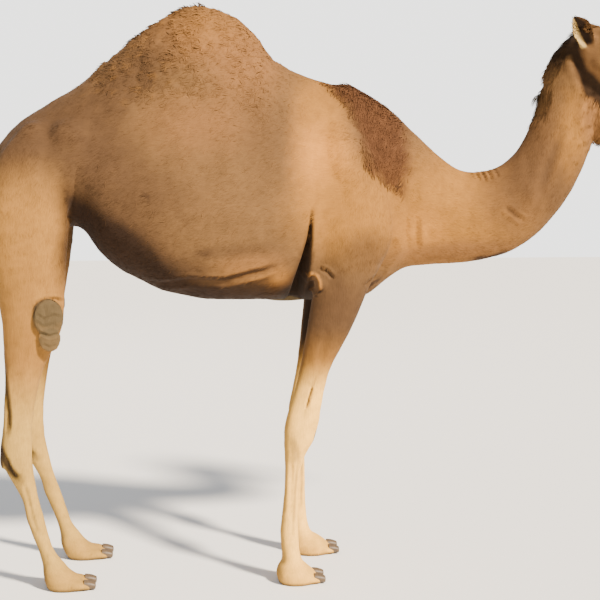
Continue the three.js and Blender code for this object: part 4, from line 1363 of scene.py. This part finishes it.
        # Painted shadow under the jaw and behind the cheek, laid over the crown's colours.
        lay(self.jaw.hue, self.jaw.amount(home))
        # Painted shade in the mouth line, the nostril and the crease in front of the eye; a paler streak
        # along the brow.
        for hue, share, path, wide in (
                (Hue.DUSK, .85, ((1480, 1797), (1380, 1792), (1290, 1806)), 7),
                (Hue.DUSK, .95, ((1459, 1860), (1450, 1870), (1438, 1877), (1424, 1878)), 6),
                (Hue.UMBER, .5, ((1222, 1914), (1246, 1886), (1280, 1850)), 14),
                (Hue.SAND, .4, ((1140, 1962), (1190, 1958), (1230, 1936)), 16)):
            lay(hue, head * Streak(hue, share, path, wide).amount(home))
        eye = np.hypot((x - EYE_X) / 30, (z - EYE_Z) / 22)
        lay(Hue.DUSK, head * (1 - smooth(eye, .75, 1.25)) * .85)
        for streak in self.streaks:
            lay(streak.hue, streak.amount(home) * (1 - head))
        back, _ = line_distance(home[:, [0, 2]], ((1000, 1990), (950, 1930), (905, 1850), (868, 1750),
                                                  (840, 1660), (800, 1580)))
        strand = .5 + .5 * ripple(home * (1, 1, .3), 14, 21)
        nape = (1 - smooth(back, 10, 54)) * (1 - smooth(np.abs(y), 48, 84))
        lay(Hue.FAWN, nape * smooth(z, 1640, 1740) * .6)
        lay(Hue.DUSK, nape * smooth(z, 1690, 1760) * smooth(strand, .5, .95) * .6)
        # Dark poll hair at the top of the nape, with painted shade from the head laid over it.
        lay(Hue.DARK_HAIR, nape * smooth(z, 1885, 1940) * .8)
        for at, radii, hue in (((-897, 262, 1000), (57, 44, 50), Hue.UMBER),
                               ((-897, 262, 980), (56, 44, 66), Hue.GREY_HIDE),
                               ((-896, 256, 906), (39, 40, 44), Hue.GREY_HIDE),
                               ((36, 188, 540), (10, 26, 30), Hue.GREY_HIDE),
                               ((-1078, 196, 470), (12, 24, 40), Hue.UMBER),
                               ((-55, 0, 1020), (95, 74, 26), Hue.GREY_HIDE)):
            q = np.linalg.norm((np.column_stack([x, np.abs(y), z]) - at) / radii, axis=1)
            lay(hue, (1 - smooth(q + ripple(home, 16, 5) * .08, .9, 1.08)) * .9)
        # Painted shade inside the ear's cup, and a painted highlight on the pale hair of its rear edge.
        ear_cup_shade, ear_rim_hair_and_highlight = ear_zones(points, normals)
        lay(Hue.DUSK, ear_cup_shade * .95)
        lay(Hue.EAR_RIM, ear_rim_hair_and_highlight * .95)
        lay(Hue.GREY_HIDE, (1 - smooth(z, 3, 16)) * .8)
        tail = smooth(-x, 1130, 1160) * (1 - smooth(z, 1120, 1220)) * (1 - smooth(np.abs(y), 50, 70))
        lay(Hue.DARK_HAIR, tail * .8)
        slope = smooth(-x + .5 * (z - 1850), 230, 560) * smooth(z + .25 * (x + 360), 1600, 1740) * (x > -840)
        lay(Hue.UMBER, slope * smooth(ripple(home, 62, 51), .0, .9) * .34)
        lay(Hue.SAND, slope * smooth(ripple(home, 44, 52), .2, .9) * .28)
        wool = smooth(inside(home[:, [0, 2]], WOOL_OUTLINE), -4, 20)
        patchy = 1 + .07 * ripple(points, 150, 31) + .08 * ripple(points, 46, 32)
        patchy += .03 * ripple(points, 17, 33) + .2 * wool * ripple(home * (1, 1, .5), 32, 44)
        return np.clip(colour * patchy[:, None], 0, 1)


def ear_zones(points: Array, normals: Array) -> tuple[Array, Array]:
    """How far each point lies inside an ear's cup, painted as shade, and on its rear edge, painted as pale
    hair brightened by a painted highlight.
    """
    inner, rim = np.zeros(len(points)), np.zeros(len(points))
    table = np.array(Ear().widths)
    for side in (-1, 1):
        root, across, opens, axis, length = Ear().frame(side)
        offset = points - root
        up, out = offset @ axis, offset @ opens
        t = (up + Ear().buried) / (length + Ear().buried)
        half, bow = (np.interp(t, table[:, 0], table[:, k]) for k in (1, 3))
        rear = (bow - offset @ across * np.sign(across[0])) / half
        near = smooth(up, 0, 12) * (1 - smooth(np.hypot(rear, out / 22), 1.12, 1.3))
        near *= points[:, 1] * side > 30
        round_ = unit(offset - up[:, None] * axis)
        cup = np.maximum(smooth(-(normals * round_).sum(1), .0, .4), smooth(normals @ opens, .4, .7))
        wall = .35 + .65 * smooth(rear, -.8, -.3)
        inner = np.maximum(inner, near * cup * (1 - smooth(rear, .2, .45)) * wall)
        rim = np.maximum(rim, near * smooth(rear, .24, .46) * smooth(out, -22, -12))
    return inner, rim


# ---- coat -----------------------------------------------------------------------------------------
@dataclass(frozen=True)
class Lock:
    """The shape of a tuft, in millimetres, and its tone.

    The usual length and width, the rise of its tip, its curl, its rings, the spread of its way in
    degrees, its thickness as a share of its width, how blunt its tip is, its tone at root and tip, and
    how much the tone changes from tuft to tuft.
    """

    length: float
    width: float
    rise: float
    curl: float = 0.0
    rings: int = 2
    spread: float = 14.0
    thick: float = .2
    blunt: float = 1.0
    tone: tuple[float, float] = (.95, 1.03)
    vary: float = .035


@dataclass(frozen=True)
class CoatPatch:
    """One piece of the coat: tufts of one kind over an area, pulled towards a way of their own."""

    name: str
    lock: Lock
    count: int
    area: "Area"
    seed: int
    pull: Row = (0, 0, 0)


class Area(Enum):
    """The areas of the coat; each says how thickly its tufts stand at points of the skin."""

    HUMP = "hump"
    CREST = "crest"
    BARREL = "barrel"
    QUARTERS = "quarters"
    SHOULDERS = "shoulders"
    WITHERS = "withers"
    NECK = "neck"
    NAPE = "nape"
    FRINGE = "fringe"
    THROAT = "throat"
    LEGS = "legs"
    FACE = "face"
    LASHES = "lashes"
    EARS = "ears"
    TAIL = "tail"

    def density(self, points: Array, normals: Array) -> Array:
        """The share of the full number of tufts at each point."""
        home = homed(points)
        x, y, z = home.T
        y = np.abs(y)
        head = smooth(x * .5 + z * .87, 2055, 2100) * smooth(x, 970, 1020)
        neck = smooth(x, 330, 420) * (1 - head)
        tail = smooth(-x, 1095, 1120) * (1 - smooth(y, 45, 60)) * (1 - smooth(z, 1500, 1560))
        legs = (1 - smooth(z, 1060, 1160)) * smooth(y, 60, 120) * (1 - tail) * limb_span(x, z)
        trunk = (1 - neck) * (1 - legs) * (1 - tail) * (x < 420)
        elbow = 1 - smooth(np.hypot((x - 46) / 60, (z - 1094) / 64), .9, 1.1)
        pocket = np.maximum(elbow, smooth(inside(home[:, [0, 2]], ARMPIT), -28, -16))
        bare = np.maximum(bare_skin(home), pocket * smooth(y, 90, 130))
        wool = smooth(inside(home[:, [0, 2]], WOOL_OUTLINE), -6, 14)
        top = smooth(z + .25 * (x + 360), 1650, 1780) * (x < 20) * (x > -800)
        if self is Area.HUMP:
            return trunk * top * (1 - .75 * smooth(x, -120, 10))
        if self is Area.CREST:
            rear = smooth(-x + .5 * (z - 1850), 330, 620)
            clumps = smooth(ripple(home, 120, 41), -.4, .5)
            return trunk * top * (1 - smooth(x, -200, -90)) * (.1 + .9 * rear) * clumps
        if self is Area.BARREL:
            return trunk * (1 - .8 * top) * smooth(x, -830, -780) * (1 - smooth(x, -10, 40)) * (1 - bare)
        if self is Area.QUARTERS:
            return trunk * (1 - smooth(x, -840, -780)) * (1 - bare)
        if self is Area.SHOULDERS:
            return trunk * smooth(x, -10, 30) * (1 - .8 * wool) * (1 - bare)
        if self is Area.WITHERS:
            return trunk * wool * (1 - .5 * smooth(x, 300, 380))
        if self is Area.NECK:
            return neck
        if self is Area.NAPE:
            back, _ = line_distance(home[:, [0, 2]], ((1000, 1990), (950, 1930), (905, 1850), (868, 1750),
                                                      (845, 1670)))
            side = (1 - smooth(back, 26, 60)) * (1 - smooth(y, 40, 64))
            poll = head * smooth(z, 1985, 2000) * (1 - smooth(x, 1090, 1130)) * (1 - smooth(y, 26, 46))
            return neck * side * smooth(z, 1660, 1720) + .35 * poll
        if self is Area.FRINGE:
            return neck * (1 - smooth(np.hypot(x - 886, z - 1770), 6, 16)) * (1 - smooth(y, 14, 26))
        if self is Area.THROAT:
            return smooth(x, 1060, 1090) * (1 - smooth(x, 1150, 1200)) * (1 - smooth(z, 1740, 1770)) \
                * smooth(z, 1560, 1600) * (1 - smooth(y, 26, 44))
        if self is Area.LEGS:
            return legs * (1 - bare) * smooth(z, 24, 44)
        if self is Area.FACE:
            eye = smooth(np.hypot((x - EYE_X) / 24, (z - EYE_Z) / 17), .95, 1.15)
            return head * eye * (1 - .8 * smooth(x, 1420, 1450)) * (1 - self.ear(points))
        if self is Area.LASHES:
            rim = np.hypot((x - EYE_X) / 20.5, (z - EYE_Z) / 13)
            return head * (1 - smooth(np.abs(rim - 1.08), .05, .1)) * smooth(z, 1927, 1933)
        if self is Area.EARS:
            return self.ear(points) * (1 - ear_zones(points, normals)[0])
        return tail

    @staticmethod
    def ear(points: Array) -> Array:
        """1 on the ears, 0 away from them."""
        result = np.zeros(len(points))
        for side in (-1, 1):
            root, across, opens, axis, _ = Ear().frame(side)
            offset = points - root
            off = np.hypot(offset @ across, offset @ opens)
            result = np.maximum(result, smooth(offset @ axis, 8, 22) * (1 - smooth(off, 36, 42)))
        return result


def bare_skin(home: Array) -> Array:
    """1 on the pads of thick bare skin, 0 away from them."""
    q = np.full(len(home), 9.0)
    flat = np.column_stack([home[:, 0], np.abs(home[:, 1]), home[:, 2]])
    for at, radii in (((-897, 262, 982), (60, 44, 74)), ((-896, 256, 906), (42, 40, 48)),
                      ((36, 188, 540), (10, 26, 30)), ((-1078, 196, 470), (12, 24, 40)),
                      ((-55, 0, 1020), (98, 78, 26))):
        q = np.minimum(q, np.linalg.norm((flat - at) / radii, axis=1))
    return 1 - smooth(q, .95, 1.1)


@dataclass
class Coat:
    """Makes the tufts of one patch as a single mesh."""

    skin: Shell
    grain: Grain
    markings: Markings

    def __post_init__(self) -> None:
        """Reads the skin's triangles and normals once."""
        self.tris = self.skin.triangles()
        self.normals = self.skin.normals()
        a, b, c = (self.skin.points[self.tris[:, k]] for k in range(3))
        self.areas = np.linalg.norm(np.cross(b - a, c - a), axis=1) / 2

    def roots(self, patch: CoatPatch, rng: np.random.Generator) -> tuple[Array, Array]:
        """Random points of the skin, as dense as the area asks, and the skin's normals there."""
        middle = self.skin.points[self.tris].mean(1)
        facing = unit(self.normals[self.tris].mean(1))
        weight = self.areas * patch.area.density(middle, facing)
        total = np.cumsum(weight)
        chosen = np.searchsorted(total, (np.arange(patch.count) + rng.random(patch.count)) / patch.count
                                 * total[-1])
        chosen = np.minimum(chosen, len(weight) - 1)
        mix = rng.random((patch.count, 2))
        mix = np.where(mix.sum(1, keepdims=True) > 1, 1 - mix, mix)
        share = np.column_stack([1 - mix.sum(1), mix])[:, :, None]
        corners = self.tris[chosen]
        return (self.skin.points[corners] * share).sum(1), unit((self.normals[corners] * share).sum(1))

    def build(self, patch: CoatPatch) -> bpy.types.Object:
        """The tufts of a patch.

        A tuft's middle line is root + L (s lie + side sin(2.6 s) swing) + normal (rise sin(2.2 s) + curl
        terms), with s from 0 to 1. Its section is a flat triangle, w wide, that narrows to a point by
        (1 - s^blunt)^0.6. It is shaded with the skin's own normal leaned a little to each side, as
        soft hair takes the light of the form that it lies on.

        Args:
            patch: which tufts to make.

        Returns:
            The mesh, with the colour of each point and the OFBake map.
        """
        rng = np.random.default_rng(patch.seed)
        root, normal = self.roots(patch, rng)
        lie, place = self.grain.read(root, normal)
        count, lock, rings = patch.count, patch.lock, patch.lock.rings
        lie = unit(lie + np.asarray(patch.pull))
        lie = unit(lie - normal * (lie * normal).sum(1, keepdims=True))
        side = np.cross(normal, lie)
        angle = rng.normal(0, math.radians(lock.spread), count)
        angle += .5 * ripple(root, 90, patch.seed) * lock.spread / 30
        lie = lie * np.cos(angle)[:, None] + side * np.sin(angle)[:, None]
        side = np.cross(normal, lie)
        length = lock.length * rng.uniform(.65, 1.25, count) * (1 + .2 * ripple(root, 60, patch.seed + 1))
        width = lock.width * rng.uniform(.7, 1.2, count)
        rise = lock.rise * rng.uniform(.3, 1.4, count)
        swing = rng.normal(0, .1, count) + lock.curl / lock.length * rng.choice([-1., 1.], count)
        twist = rng.uniform(0, 2 * math.pi, count)
        steps = np.append(np.arange(rings) / rings, 1.0)
        points = np.empty((count, rings * 3 + 1, 3))
        for k, s in enumerate(steps):
            line = root + lie * (length * s * (1 - .25 * abs(lock.curl / lock.length) * s))[:, None]
            line += side * (length * swing * math.sin(2.6 * s))[:, None]
            line += side * (lock.curl * .35 * np.sin(twist + 5 * s) * s)[:, None]
            lift = rise * math.sin(2.1 * s) + lock.curl * .3 * (np.cos(twist + 5 * s) + .6) * s - .7
            line += normal * np.maximum(lift, -.7 + .9 * s)[:, None]
            line[:, 2] = np.maximum(line[:, 2], .8)
            if k == rings:
                points[:, -1] = line
                break
            half = (width * (1 - s ** lock.blunt) ** .6 / 2 * (.75 + .5 * min(1.0, 3 * s)))[:, None]
            points[:, k * 3] = line - side * half
            points[:, k * 3 + 1] = line + side * half
            points[:, k * 3 + 2] = line + normal * half * 2 * lock.thick
        local = []
        for k in range(rings - 1):
            for i in range(3):
                j = (i + 1) % 3
                local.append((k * 3 + i, k * 3 + j, k * 3 + 3 + j))
                local.append((k * 3 + i, k * 3 + 3 + j, k * 3 + 3 + i))
        last = (rings - 1) * 3
        local += [(last + i, last + (i + 1) % 3, rings * 3) for i in range(3)] + [(0, 2, 1)]
        faces = (np.array(local)[None] + (np.arange(count) * (rings * 3 + 1))[:, None, None]).reshape(-1, 3)
        shell = Shell(points.reshape(-1, 3), tris=faces)
        a, b, c = (points[0, np.array(local)[:, k]] for k in range(3))
        if np.einsum("ij,ij->i", a - root[0], np.cross(b - root[0], c - root[0])).sum() < 0:
            shell = Shell(shell.points, tris=faces[:, ::-1])
        made = mesh_object(patch.name, shell)
        leans = np.array([-.45, .45, 0] * rings + [0])[None, :, None]
        soft = unit(normal[:, None] + side[:, None] * leans + lie[:, None] * .12)
        start = placed(np.repeat(root, rings * 3 + 1, axis=0))
        ways = placed(np.repeat(root, rings * 3 + 1, axis=0) + soft.reshape(-1, 3)) - start
        made.data.normals_split_custom_set_from_vertices(unit(ways).tolist())
        along = np.append(np.repeat(steps[:-1], 3), 1.0)
        across = np.append(np.tile([-.5, .5, 0], rings), 0.0)
        tone = rng.normal(1, lock.vary, count)[:, None] * (lock.tone[0] + (lock.tone[1] - lock.tone[0])
                                                          * along)[None]
        base = self.markings.colours(root, normal)
        set_colours(made, "tint", (base[:, None] * tone[:, :, None]).reshape(-1, 3))
        patch_uv = place[:, None] + np.stack([across, along - .5], 1)[None] * .003
        layer = made.data.uv_layers.new(name="OFBake")
        corners = shell.tris.ravel()
        layer.data.foreach_set("uv", patch_uv.reshape(-1, 2)[corners].astype(np.float32).ravel())
        return made


PATCHES: tuple[CoatPatch, ...] = (
    CoatPatch("hump_down", Lock(18, 3.4, 1.0, 2.0, 3, 30, tone=(.95, 1.04)), 7000, Area.HUMP, 101),
    CoatPatch("hump_wool", Lock(30, 5.5, 1.8, 5.0, 4, 34, .1, 1.1, (.84, 1.12), .07), 5200, Area.CREST, 113),
    CoatPatch("barrel_coat", Lock(24, 2.6, .8, .8, 2, 12), 19000, Area.BARREL, 102),
    CoatPatch("wavy_hairs", Lock(34, 3.4, 1.2, 6.0, 4, 22, tone=(1.05, 1.25)), 420, Area.BARREL, 114),
    CoatPatch("quarter_coat", Lock(20, 2.6, .7, .6, 2, 12), 13000, Area.QUARTERS, 103),
    CoatPatch("shoulder_coat", Lock(18, 2.4, .6, .5, 2, 12), 13000, Area.SHOULDERS, 104),
    CoatPatch("withers_wool", Lock(36, 6.0, 1.6, 5.0, 5, 14, .1, 1.1, (.86, 1.12), .07), 3200,
              Area.WITHERS, 105, (.2, 0, -1.0)),
    CoatPatch("withers_down", Lock(26, 4.0, 1.6, 3.0, 4, 20, tone=(.88, 1.1), vary=.06), 1800,
              Area.WITHERS, 115, (.2, 0, -1.0)),
    CoatPatch("neck_coat", Lock(19, 2.4, .7, .6, 2, 12), 17000, Area.NECK, 106),
    CoatPatch("nape_hair", Lock(56, 5.0, 3.4, 4.0, 5, 12, tone=(.75, 1.2), vary=.1), 2400, Area.NAPE, 107,
              (-.2, 0, -.4)),
    CoatPatch("nape_fringe", Lock(56, 4.0, 22.0, 2.0, 5, 4, tone=(.85, 1.2), vary=.08), 80, Area.FRINGE, 116),
    CoatPatch("throat_hair", Lock(34, 3.0, 1.4, 2.0, 4, 12, tone=(.95, 1.05)), 1100, Area.THROAT, 108),
    CoatPatch("leg_coat", Lock(13, 2.0, .4, .2, 2, 10), 19000, Area.LEGS, 109),
    CoatPatch("face_coat", Lock(8, 1.6, .35, .2, 2, 12), 16000, Area.FACE, 110),
    CoatPatch("eyelashes", Lock(23, 1.5, 11.0, .5, 4, 16, tone=(.3, .35)), 150, Area.LASHES, 117,
              (.4, 0, -.8)),
    CoatPatch("ear_coat", Lock(11, 1.8, .9, .5, 2, 14), 1600, Area.EARS, 111),
    CoatPatch("tail_hair", Lock(70, 4.5, 4.0, 4.0, 5, 10, tone=(.8, 1.1), vary=.1), 3200, Area.TAIL, 112),
)


# ---- finishes -------------------------------------------------------------------------------------
def surface(name: str, roughness: float) -> tuple[bpy.types.Material, bpy.types.ShaderNode]:
    """A new material and its main shader."""
    material = bpy.data.materials.new(name)
    material.use_nodes = True
    shader = material.node_tree.nodes["Principled BSDF"]
    shader.inputs["Roughness"].default_value = roughness
    return material, shader


def add(material: bpy.types.Material, kind: str, settings: dict[str, object] | None = None,
        **links: object) -> bpy.types.ShaderNode:
    """Adds a node to a material.

    Args:
        material: where it goes.
        kind: the node's Blender type.
        settings: values of its properties, or of its inputs where the key is an input's name.
        **links: inputs, with spaces as underscores, and the output that each one reads.

    Returns:
        The node.
    """
    node = material.node_tree.nodes.new(kind)
    for key, value in (settings or {}).items():
        if key in node.inputs:
            node.inputs[key].default_value = value
        else:
            setattr(node, key, value)
    for key, source in links.items():
        name = key.replace("_", " ")
        target = node.inputs[int(key[1:])] if key[0] == "i" and key[1:].isdigit() else node.inputs[name]
        material.node_tree.links.new(source, target)
    return node


@dataclass(frozen=True)
class Hide:
    """Short hair lying flat on skin: matt, mottled, with fine strokes along the body or down the limbs.

    Single hairs are 0.05 mm and too fine to show, so the strokes are bunches about 4 mm apart.
    """

    name: str
    roughness: float = .82
    bump: float = .35
    stroke_mm: float = 4.5
    mottle_mm: float = 26.0
    contrast: float = .12
    sheen: float = .02

    def make(self) -> bpy.types.Material:
        """The material, coloured by the piece's own tint."""
        material, shader = surface(self.name, self.roughness)
        shader.inputs["Sheen Weight"].default_value = self.sheen
        shader.inputs["Sheen Roughness"].default_value = .5
        shader.inputs["Specular IOR Level"].default_value = .1
        tint = add(material, "ShaderNodeAttribute", {"attribute_name": "tint"})
        place = add(material, "ShaderNodeTexCoord").outputs["Object"]
        size = 1 / (self.stroke_mm * MM)
        along = add(material, "ShaderNodeMapping", {"Scale": (size * .16, size, size)}, Vector=place)
        down = add(material, "ShaderNodeMapping", {"Scale": (size, size, size * .16)}, Vector=place)
        strokes = [add(material, "ShaderNodeTexNoise", {"Scale": 1.0, "Detail": 2.0, "Roughness": .6},
                       Vector=m.outputs[0]).outputs[0] for m in (along, down)]
        lie = add(material, "ShaderNodeAttribute", {"attribute_name": "upright"})
        stroke = add(material, "ShaderNodeMix", {"data_type": "FLOAT"}, i0=lie.outputs["Fac"],
                     i2=strokes[0], i3=strokes[1]).outputs[0]
        mottle = add(material, "ShaderNodeTexNoise", {"Scale": 1 / (self.mottle_mm * MM), "Detail": 4.0,
                                                      "Roughness": .62}, Vector=place).outputs[0]
        both = add(material, "ShaderNodeMath", {"operation": "ADD"}, i0=stroke, i1=mottle).outputs[0]
        low, high = 1 - self.contrast, 1 + self.contrast
        shade = add(material, "ShaderNodeMapRange", {"From Min": .7, "From Max": 1.3, "To Min": low,
                                                     "To Max": high}, Value=both).outputs[0]
        colour = add(material, "ShaderNodeVectorMath", {"operation": "SCALE"}, i0=tint.outputs["Color"],
                     Scale=shade)
        material.node_tree.links.new(colour.outputs[0], shader.inputs["Base Color"])
        bump = add(material, "ShaderNodeBump", {"Strength": self.bump, "Distance": .0022}, Height=stroke)
        material.node_tree.links.new(bump.outputs[0], shader.inputs["Normal"])
        return material


@dataclass(frozen=True)
class Hair:
    """Bunched hair: matt, a little lighter at the tips, softened by its own fuzz."""

    name: str
    roughness: float = .9
    sheen: float = .02

    def make(self) -> bpy.types.Material:
        """The material, coloured by the tufts' own tint."""
        material, shader = surface(self.name, self.roughness)
        shader.inputs["Sheen Weight"].default_value = self.sheen
        shader.inputs["Specular IOR Level"].default_value = .08
        tint = add(material, "ShaderNodeAttribute", {"attribute_name": "tint"})
        place = add(material, "ShaderNodeTexCoord").outputs["Object"]
        mottle = add(material, "ShaderNodeTexNoise", {"Scale": 1 / (26 * MM), "Detail": 4.0,
                                                      "Roughness": .62}, Vector=place).outputs[0]
        shade = add(material, "ShaderNodeMapRange", {"From Min": .35, "From Max": .65, "To Min": .86,
                                                     "To Max": 1.14}, Value=mottle).outputs[0]
        colour = add(material, "ShaderNodeVectorMath", {"operation": "SCALE"}, i0=tint.outputs["Color"],
                     Scale=shade)
        material.node_tree.links.new(colour.outputs[0], shader.inputs["Base Color"])
        return material


@dataclass(frozen=True)
class Horn:
    """Worn horn: dull, ridged across every 2 mm or so, dusty brown over grey."""

    name: str = "worn_toe_horn"

    def make(self) -> bpy.types.Material:
        """The material."""
        material, shader = surface(self.name, .5)
        place = add(material, "ShaderNodeTexCoord").outputs["Object"]
        grow = add(material, "ShaderNodeMapping", {"Scale": (1 / (3.2 * MM), 40, 60)}, Vector=place)
        rings = add(material, "ShaderNodeTexNoise", {"Scale": 1.0, "Detail": 3.0}, Vector=grow.outputs[0])
        ramp = add(material, "ShaderNodeValToRGB", Fac=rings.outputs[0])
        ramp.color_ramp.elements[0].position, ramp.color_ramp.elements[1].position = .2, .8
        ramp.color_ramp.elements[0].color = (*linear("#46382a"), 1)
        ramp.color_ramp.elements[1].color = (*linear("#665238"), 1)
        material.node_tree.links.new(ramp.outputs[0], shader.inputs["Base Color"])
        bump = add(material, "ShaderNodeBump", {"Strength": .4, "Distance": .0008}, Height=rings.outputs[0])
        material.node_tree.links.new(bump.outputs[0], shader.inputs["Normal"])
        return material


@dataclass(frozen=True)
class WetEye:
    """A wet eyeball: near-black pupil, dark brown iris, brownish white, under a clear gloss."""

    name: str = "wet_eyeball"

    def make(self) -> bpy.types.Material:
        """The material, coloured by the ball's own tint."""
        material, shader = surface(self.name, .07)
        shader.inputs["Specular IOR Level"].default_value = .45
        tint = add(material, "ShaderNodeAttribute", {"attribute_name": "tint"})
        material.node_tree.links.new(tint.outputs["Color"], shader.inputs["Base Color"])
        return material

    @staticmethod
    def tint(ball: Shell, eye: Eye, side: int) -> Array:
        """Colours of the ball's points: pupil, iris and white by the angle from the line of sight."""
        offset = (ball.points - eye.centre(side)) * (1, side, 1)
        wide = np.degrees(np.arctan2(np.hypot(offset[:, 0] * .75, offset[:, 2] * 1.5), offset[:, 1]))
        round_ = np.degrees(np.arctan2(np.hypot(offset[:, 0], offset[:, 2]), offset[:, 1]))
        iris = 1 - smooth(round_, 52, 60)[:, None]
        pupil = 1 - smooth(wide, 19, 24)[:, None]
        colour = np.array(linear("#4a3226")) * (1 - iris) + np.array(linear("#1c0e06")) * iris
        return colour * (1 - pupil) + np.array(linear("#050302")) * pupil


# ---- studio ---------------------------------------------------------------------------------------
@dataclass(frozen=True)
class Studio:
    """Pale floor, soft light and the camera."""

    eye: Row = (-.5997, -5.3396, 1.6)
    heading: float = -5.0
    down: float = 6.32
    lens: float = 87.54
    to_sun: Row = (.5, -.58, .64)
    sun: float = 12.0

    def build(self) -> None:
        """Makes the camera, the lights, the sky and the floor.

        The sky lights the room softly, and is seen behind it as a paler wall, as bright as the floor.
        """
        camera = bpy.data.cameras.new("camera")
        camera.lens, camera.sensor_width, camera.sensor_fit = self.lens, 36, "HORIZONTAL"
        camera.clip_end = 100
        holder = bpy.data.objects.new("camera", camera)
        bpy.context.scene.collection.objects.link(holder)
        turn, dip = math.radians(self.heading), math.radians(self.down)
        look = Vector((-math.sin(turn) * math.cos(dip), math.cos(turn) * math.cos(dip), -math.sin(dip)))
        holder.location = self.eye
        holder.rotation_euler = look.to_track_quat("-Z", "Y").to_euler()
        bpy.context.scene.camera = holder
        middle = Vector((0, 0, 1.1))
        sun = bpy.data.lights.new("key", "SUN")
        sun.energy, sun.angle, sun.color = self.sun, math.radians(7), linear("#fff0dc")
        key = bpy.data.objects.new("key", sun)
        key.location = middle + Vector(self.to_sun) * 7
        key.rotation_euler = (-Vector(self.to_sun)).to_track_quat("-Z", "Y").to_euler()
        bpy.context.scene.collection.objects.link(key)
        self.light("fill", middle + Vector((-4.5, -4.5, 2.6)), middle, 4.0, 60, "#e6efff")
        self.light("back", middle + Vector((-2.5, 5.5, 4)), middle, 4.0, 90, "#f4f6ff")
        world = bpy.data.worlds.new("sky")
        world.use_nodes = True
        tree = world.node_tree
        air, wall = tree.nodes["Background"], tree.nodes.new("ShaderNodeBackground")
        for shade, colour, strength in ((air, "#eef1f5", .55), (wall, "#f6f5f2", 2.9)):
            shade.inputs["Color"].default_value = (*linear(colour), 1)
            shade.inputs["Strength"].default_value = strength
        seen, mixed = tree.nodes.new("ShaderNodeLightPath"), tree.nodes.new("ShaderNodeMixShader")
        tree.links.new(seen.outputs["Is Camera Ray"], mixed.inputs[0])
        tree.links.new(air.outputs[0], mixed.inputs[1])
        tree.links.new(wall.outputs[0], mixed.inputs[2])
        tree.links.new(mixed.outputs[0], tree.nodes["World Output"].inputs["Surface"])
        bpy.context.scene.world = world
        self.floor()

    def light(self, name: str, at: Vector, to: Vector, size: float, power: float, colour: str) -> None:
        """An area light that looks at a point."""
        lamp = bpy.data.lights.new(name, "AREA")
        lamp.shape, lamp.size, lamp.energy, lamp.color = "DISK", size, power, linear(colour)
        holder = bpy.data.objects.new(name, lamp)
        holder.location = at
        holder.rotation_euler = (to - at).to_track_quat("-Z", "Y").to_euler()
        bpy.context.scene.collection.objects.link(holder)

    def floor(self) -> None:
        """A wide pale floor just below the soles."""
        grid = np.array([(-14, -14, -.0006), (14, -14, -.0006), (14, 14, -.0006), (-14, 14, -.0006)])
        plane = mesh_object("floor", Shell(grid, np.array([[0, 1, 2, 3]])), place=False)
        material, shader = surface("matt_floor_paint", .9)
        shader.inputs["Base Color"].default_value = (*linear("#f2f1ee"), 1)
        plane.data.materials.append(material)


# ---- the whole ------------------------------------------------------------------------------------
def main() -> None:
    """Builds the animal part by part and the studio round it."""
    logging.basicConfig(level=logging.INFO, format="%(message)s")
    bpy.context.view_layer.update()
    plan, eye = BodyPlan(), Eye()
    grain, markings = Grain(plan), Markings()
    skin = Skin(plan).build()
    log.info("skin: %d triangles", len(skin.triangles()))
    normals = skin.normals()
    body = mesh_object("skin", skin)
    set_colours(body, "tint", markings.colours(skin.points, normals))
    lie, _ = grain.read(skin.points, normals)
    set_value(body, "upright", smooth(np.abs(lie[:, 2]) - np.abs(lie[:, 0]), -.2, .2))
    flesh = [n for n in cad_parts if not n.startswith("eye_") and "nail" not in n]
    finish_piece(body, Hide("short_haired_hide").make(), flesh)

    coat, hair = Coat(skin, grain, markings), Hair("bunched_camel_hair").make()
    for patch in PATCHES:
        finish_piece(coat.build(patch), hair, [])

    wet = WetEye()
    gloss = wet.make()
    for side, name in ((1, "left"), (-1, "right")):
        shell = eye.ball(side)
        ball = mesh_object(f"eyeball_{name}", shell)
        set_colours(ball, "tint", wet.tint(shell, eye, side))
        finish_piece(ball, gloss, [f"eye_{name}"])
    horn = Horn().make()
    for leg in plan.legs:
        for y, place in zip(leg.toe_sides(), ("inner", "outer")):
            node = f"{leg.kind.value}_nail_{place}_{leg.name}"
            finish_piece(mesh_object(node + "_horn", leg.toe.nail(leg.toe_front(), y)), horn, [node])
    Studio().build()


if __name__ == "__main__":
    main()
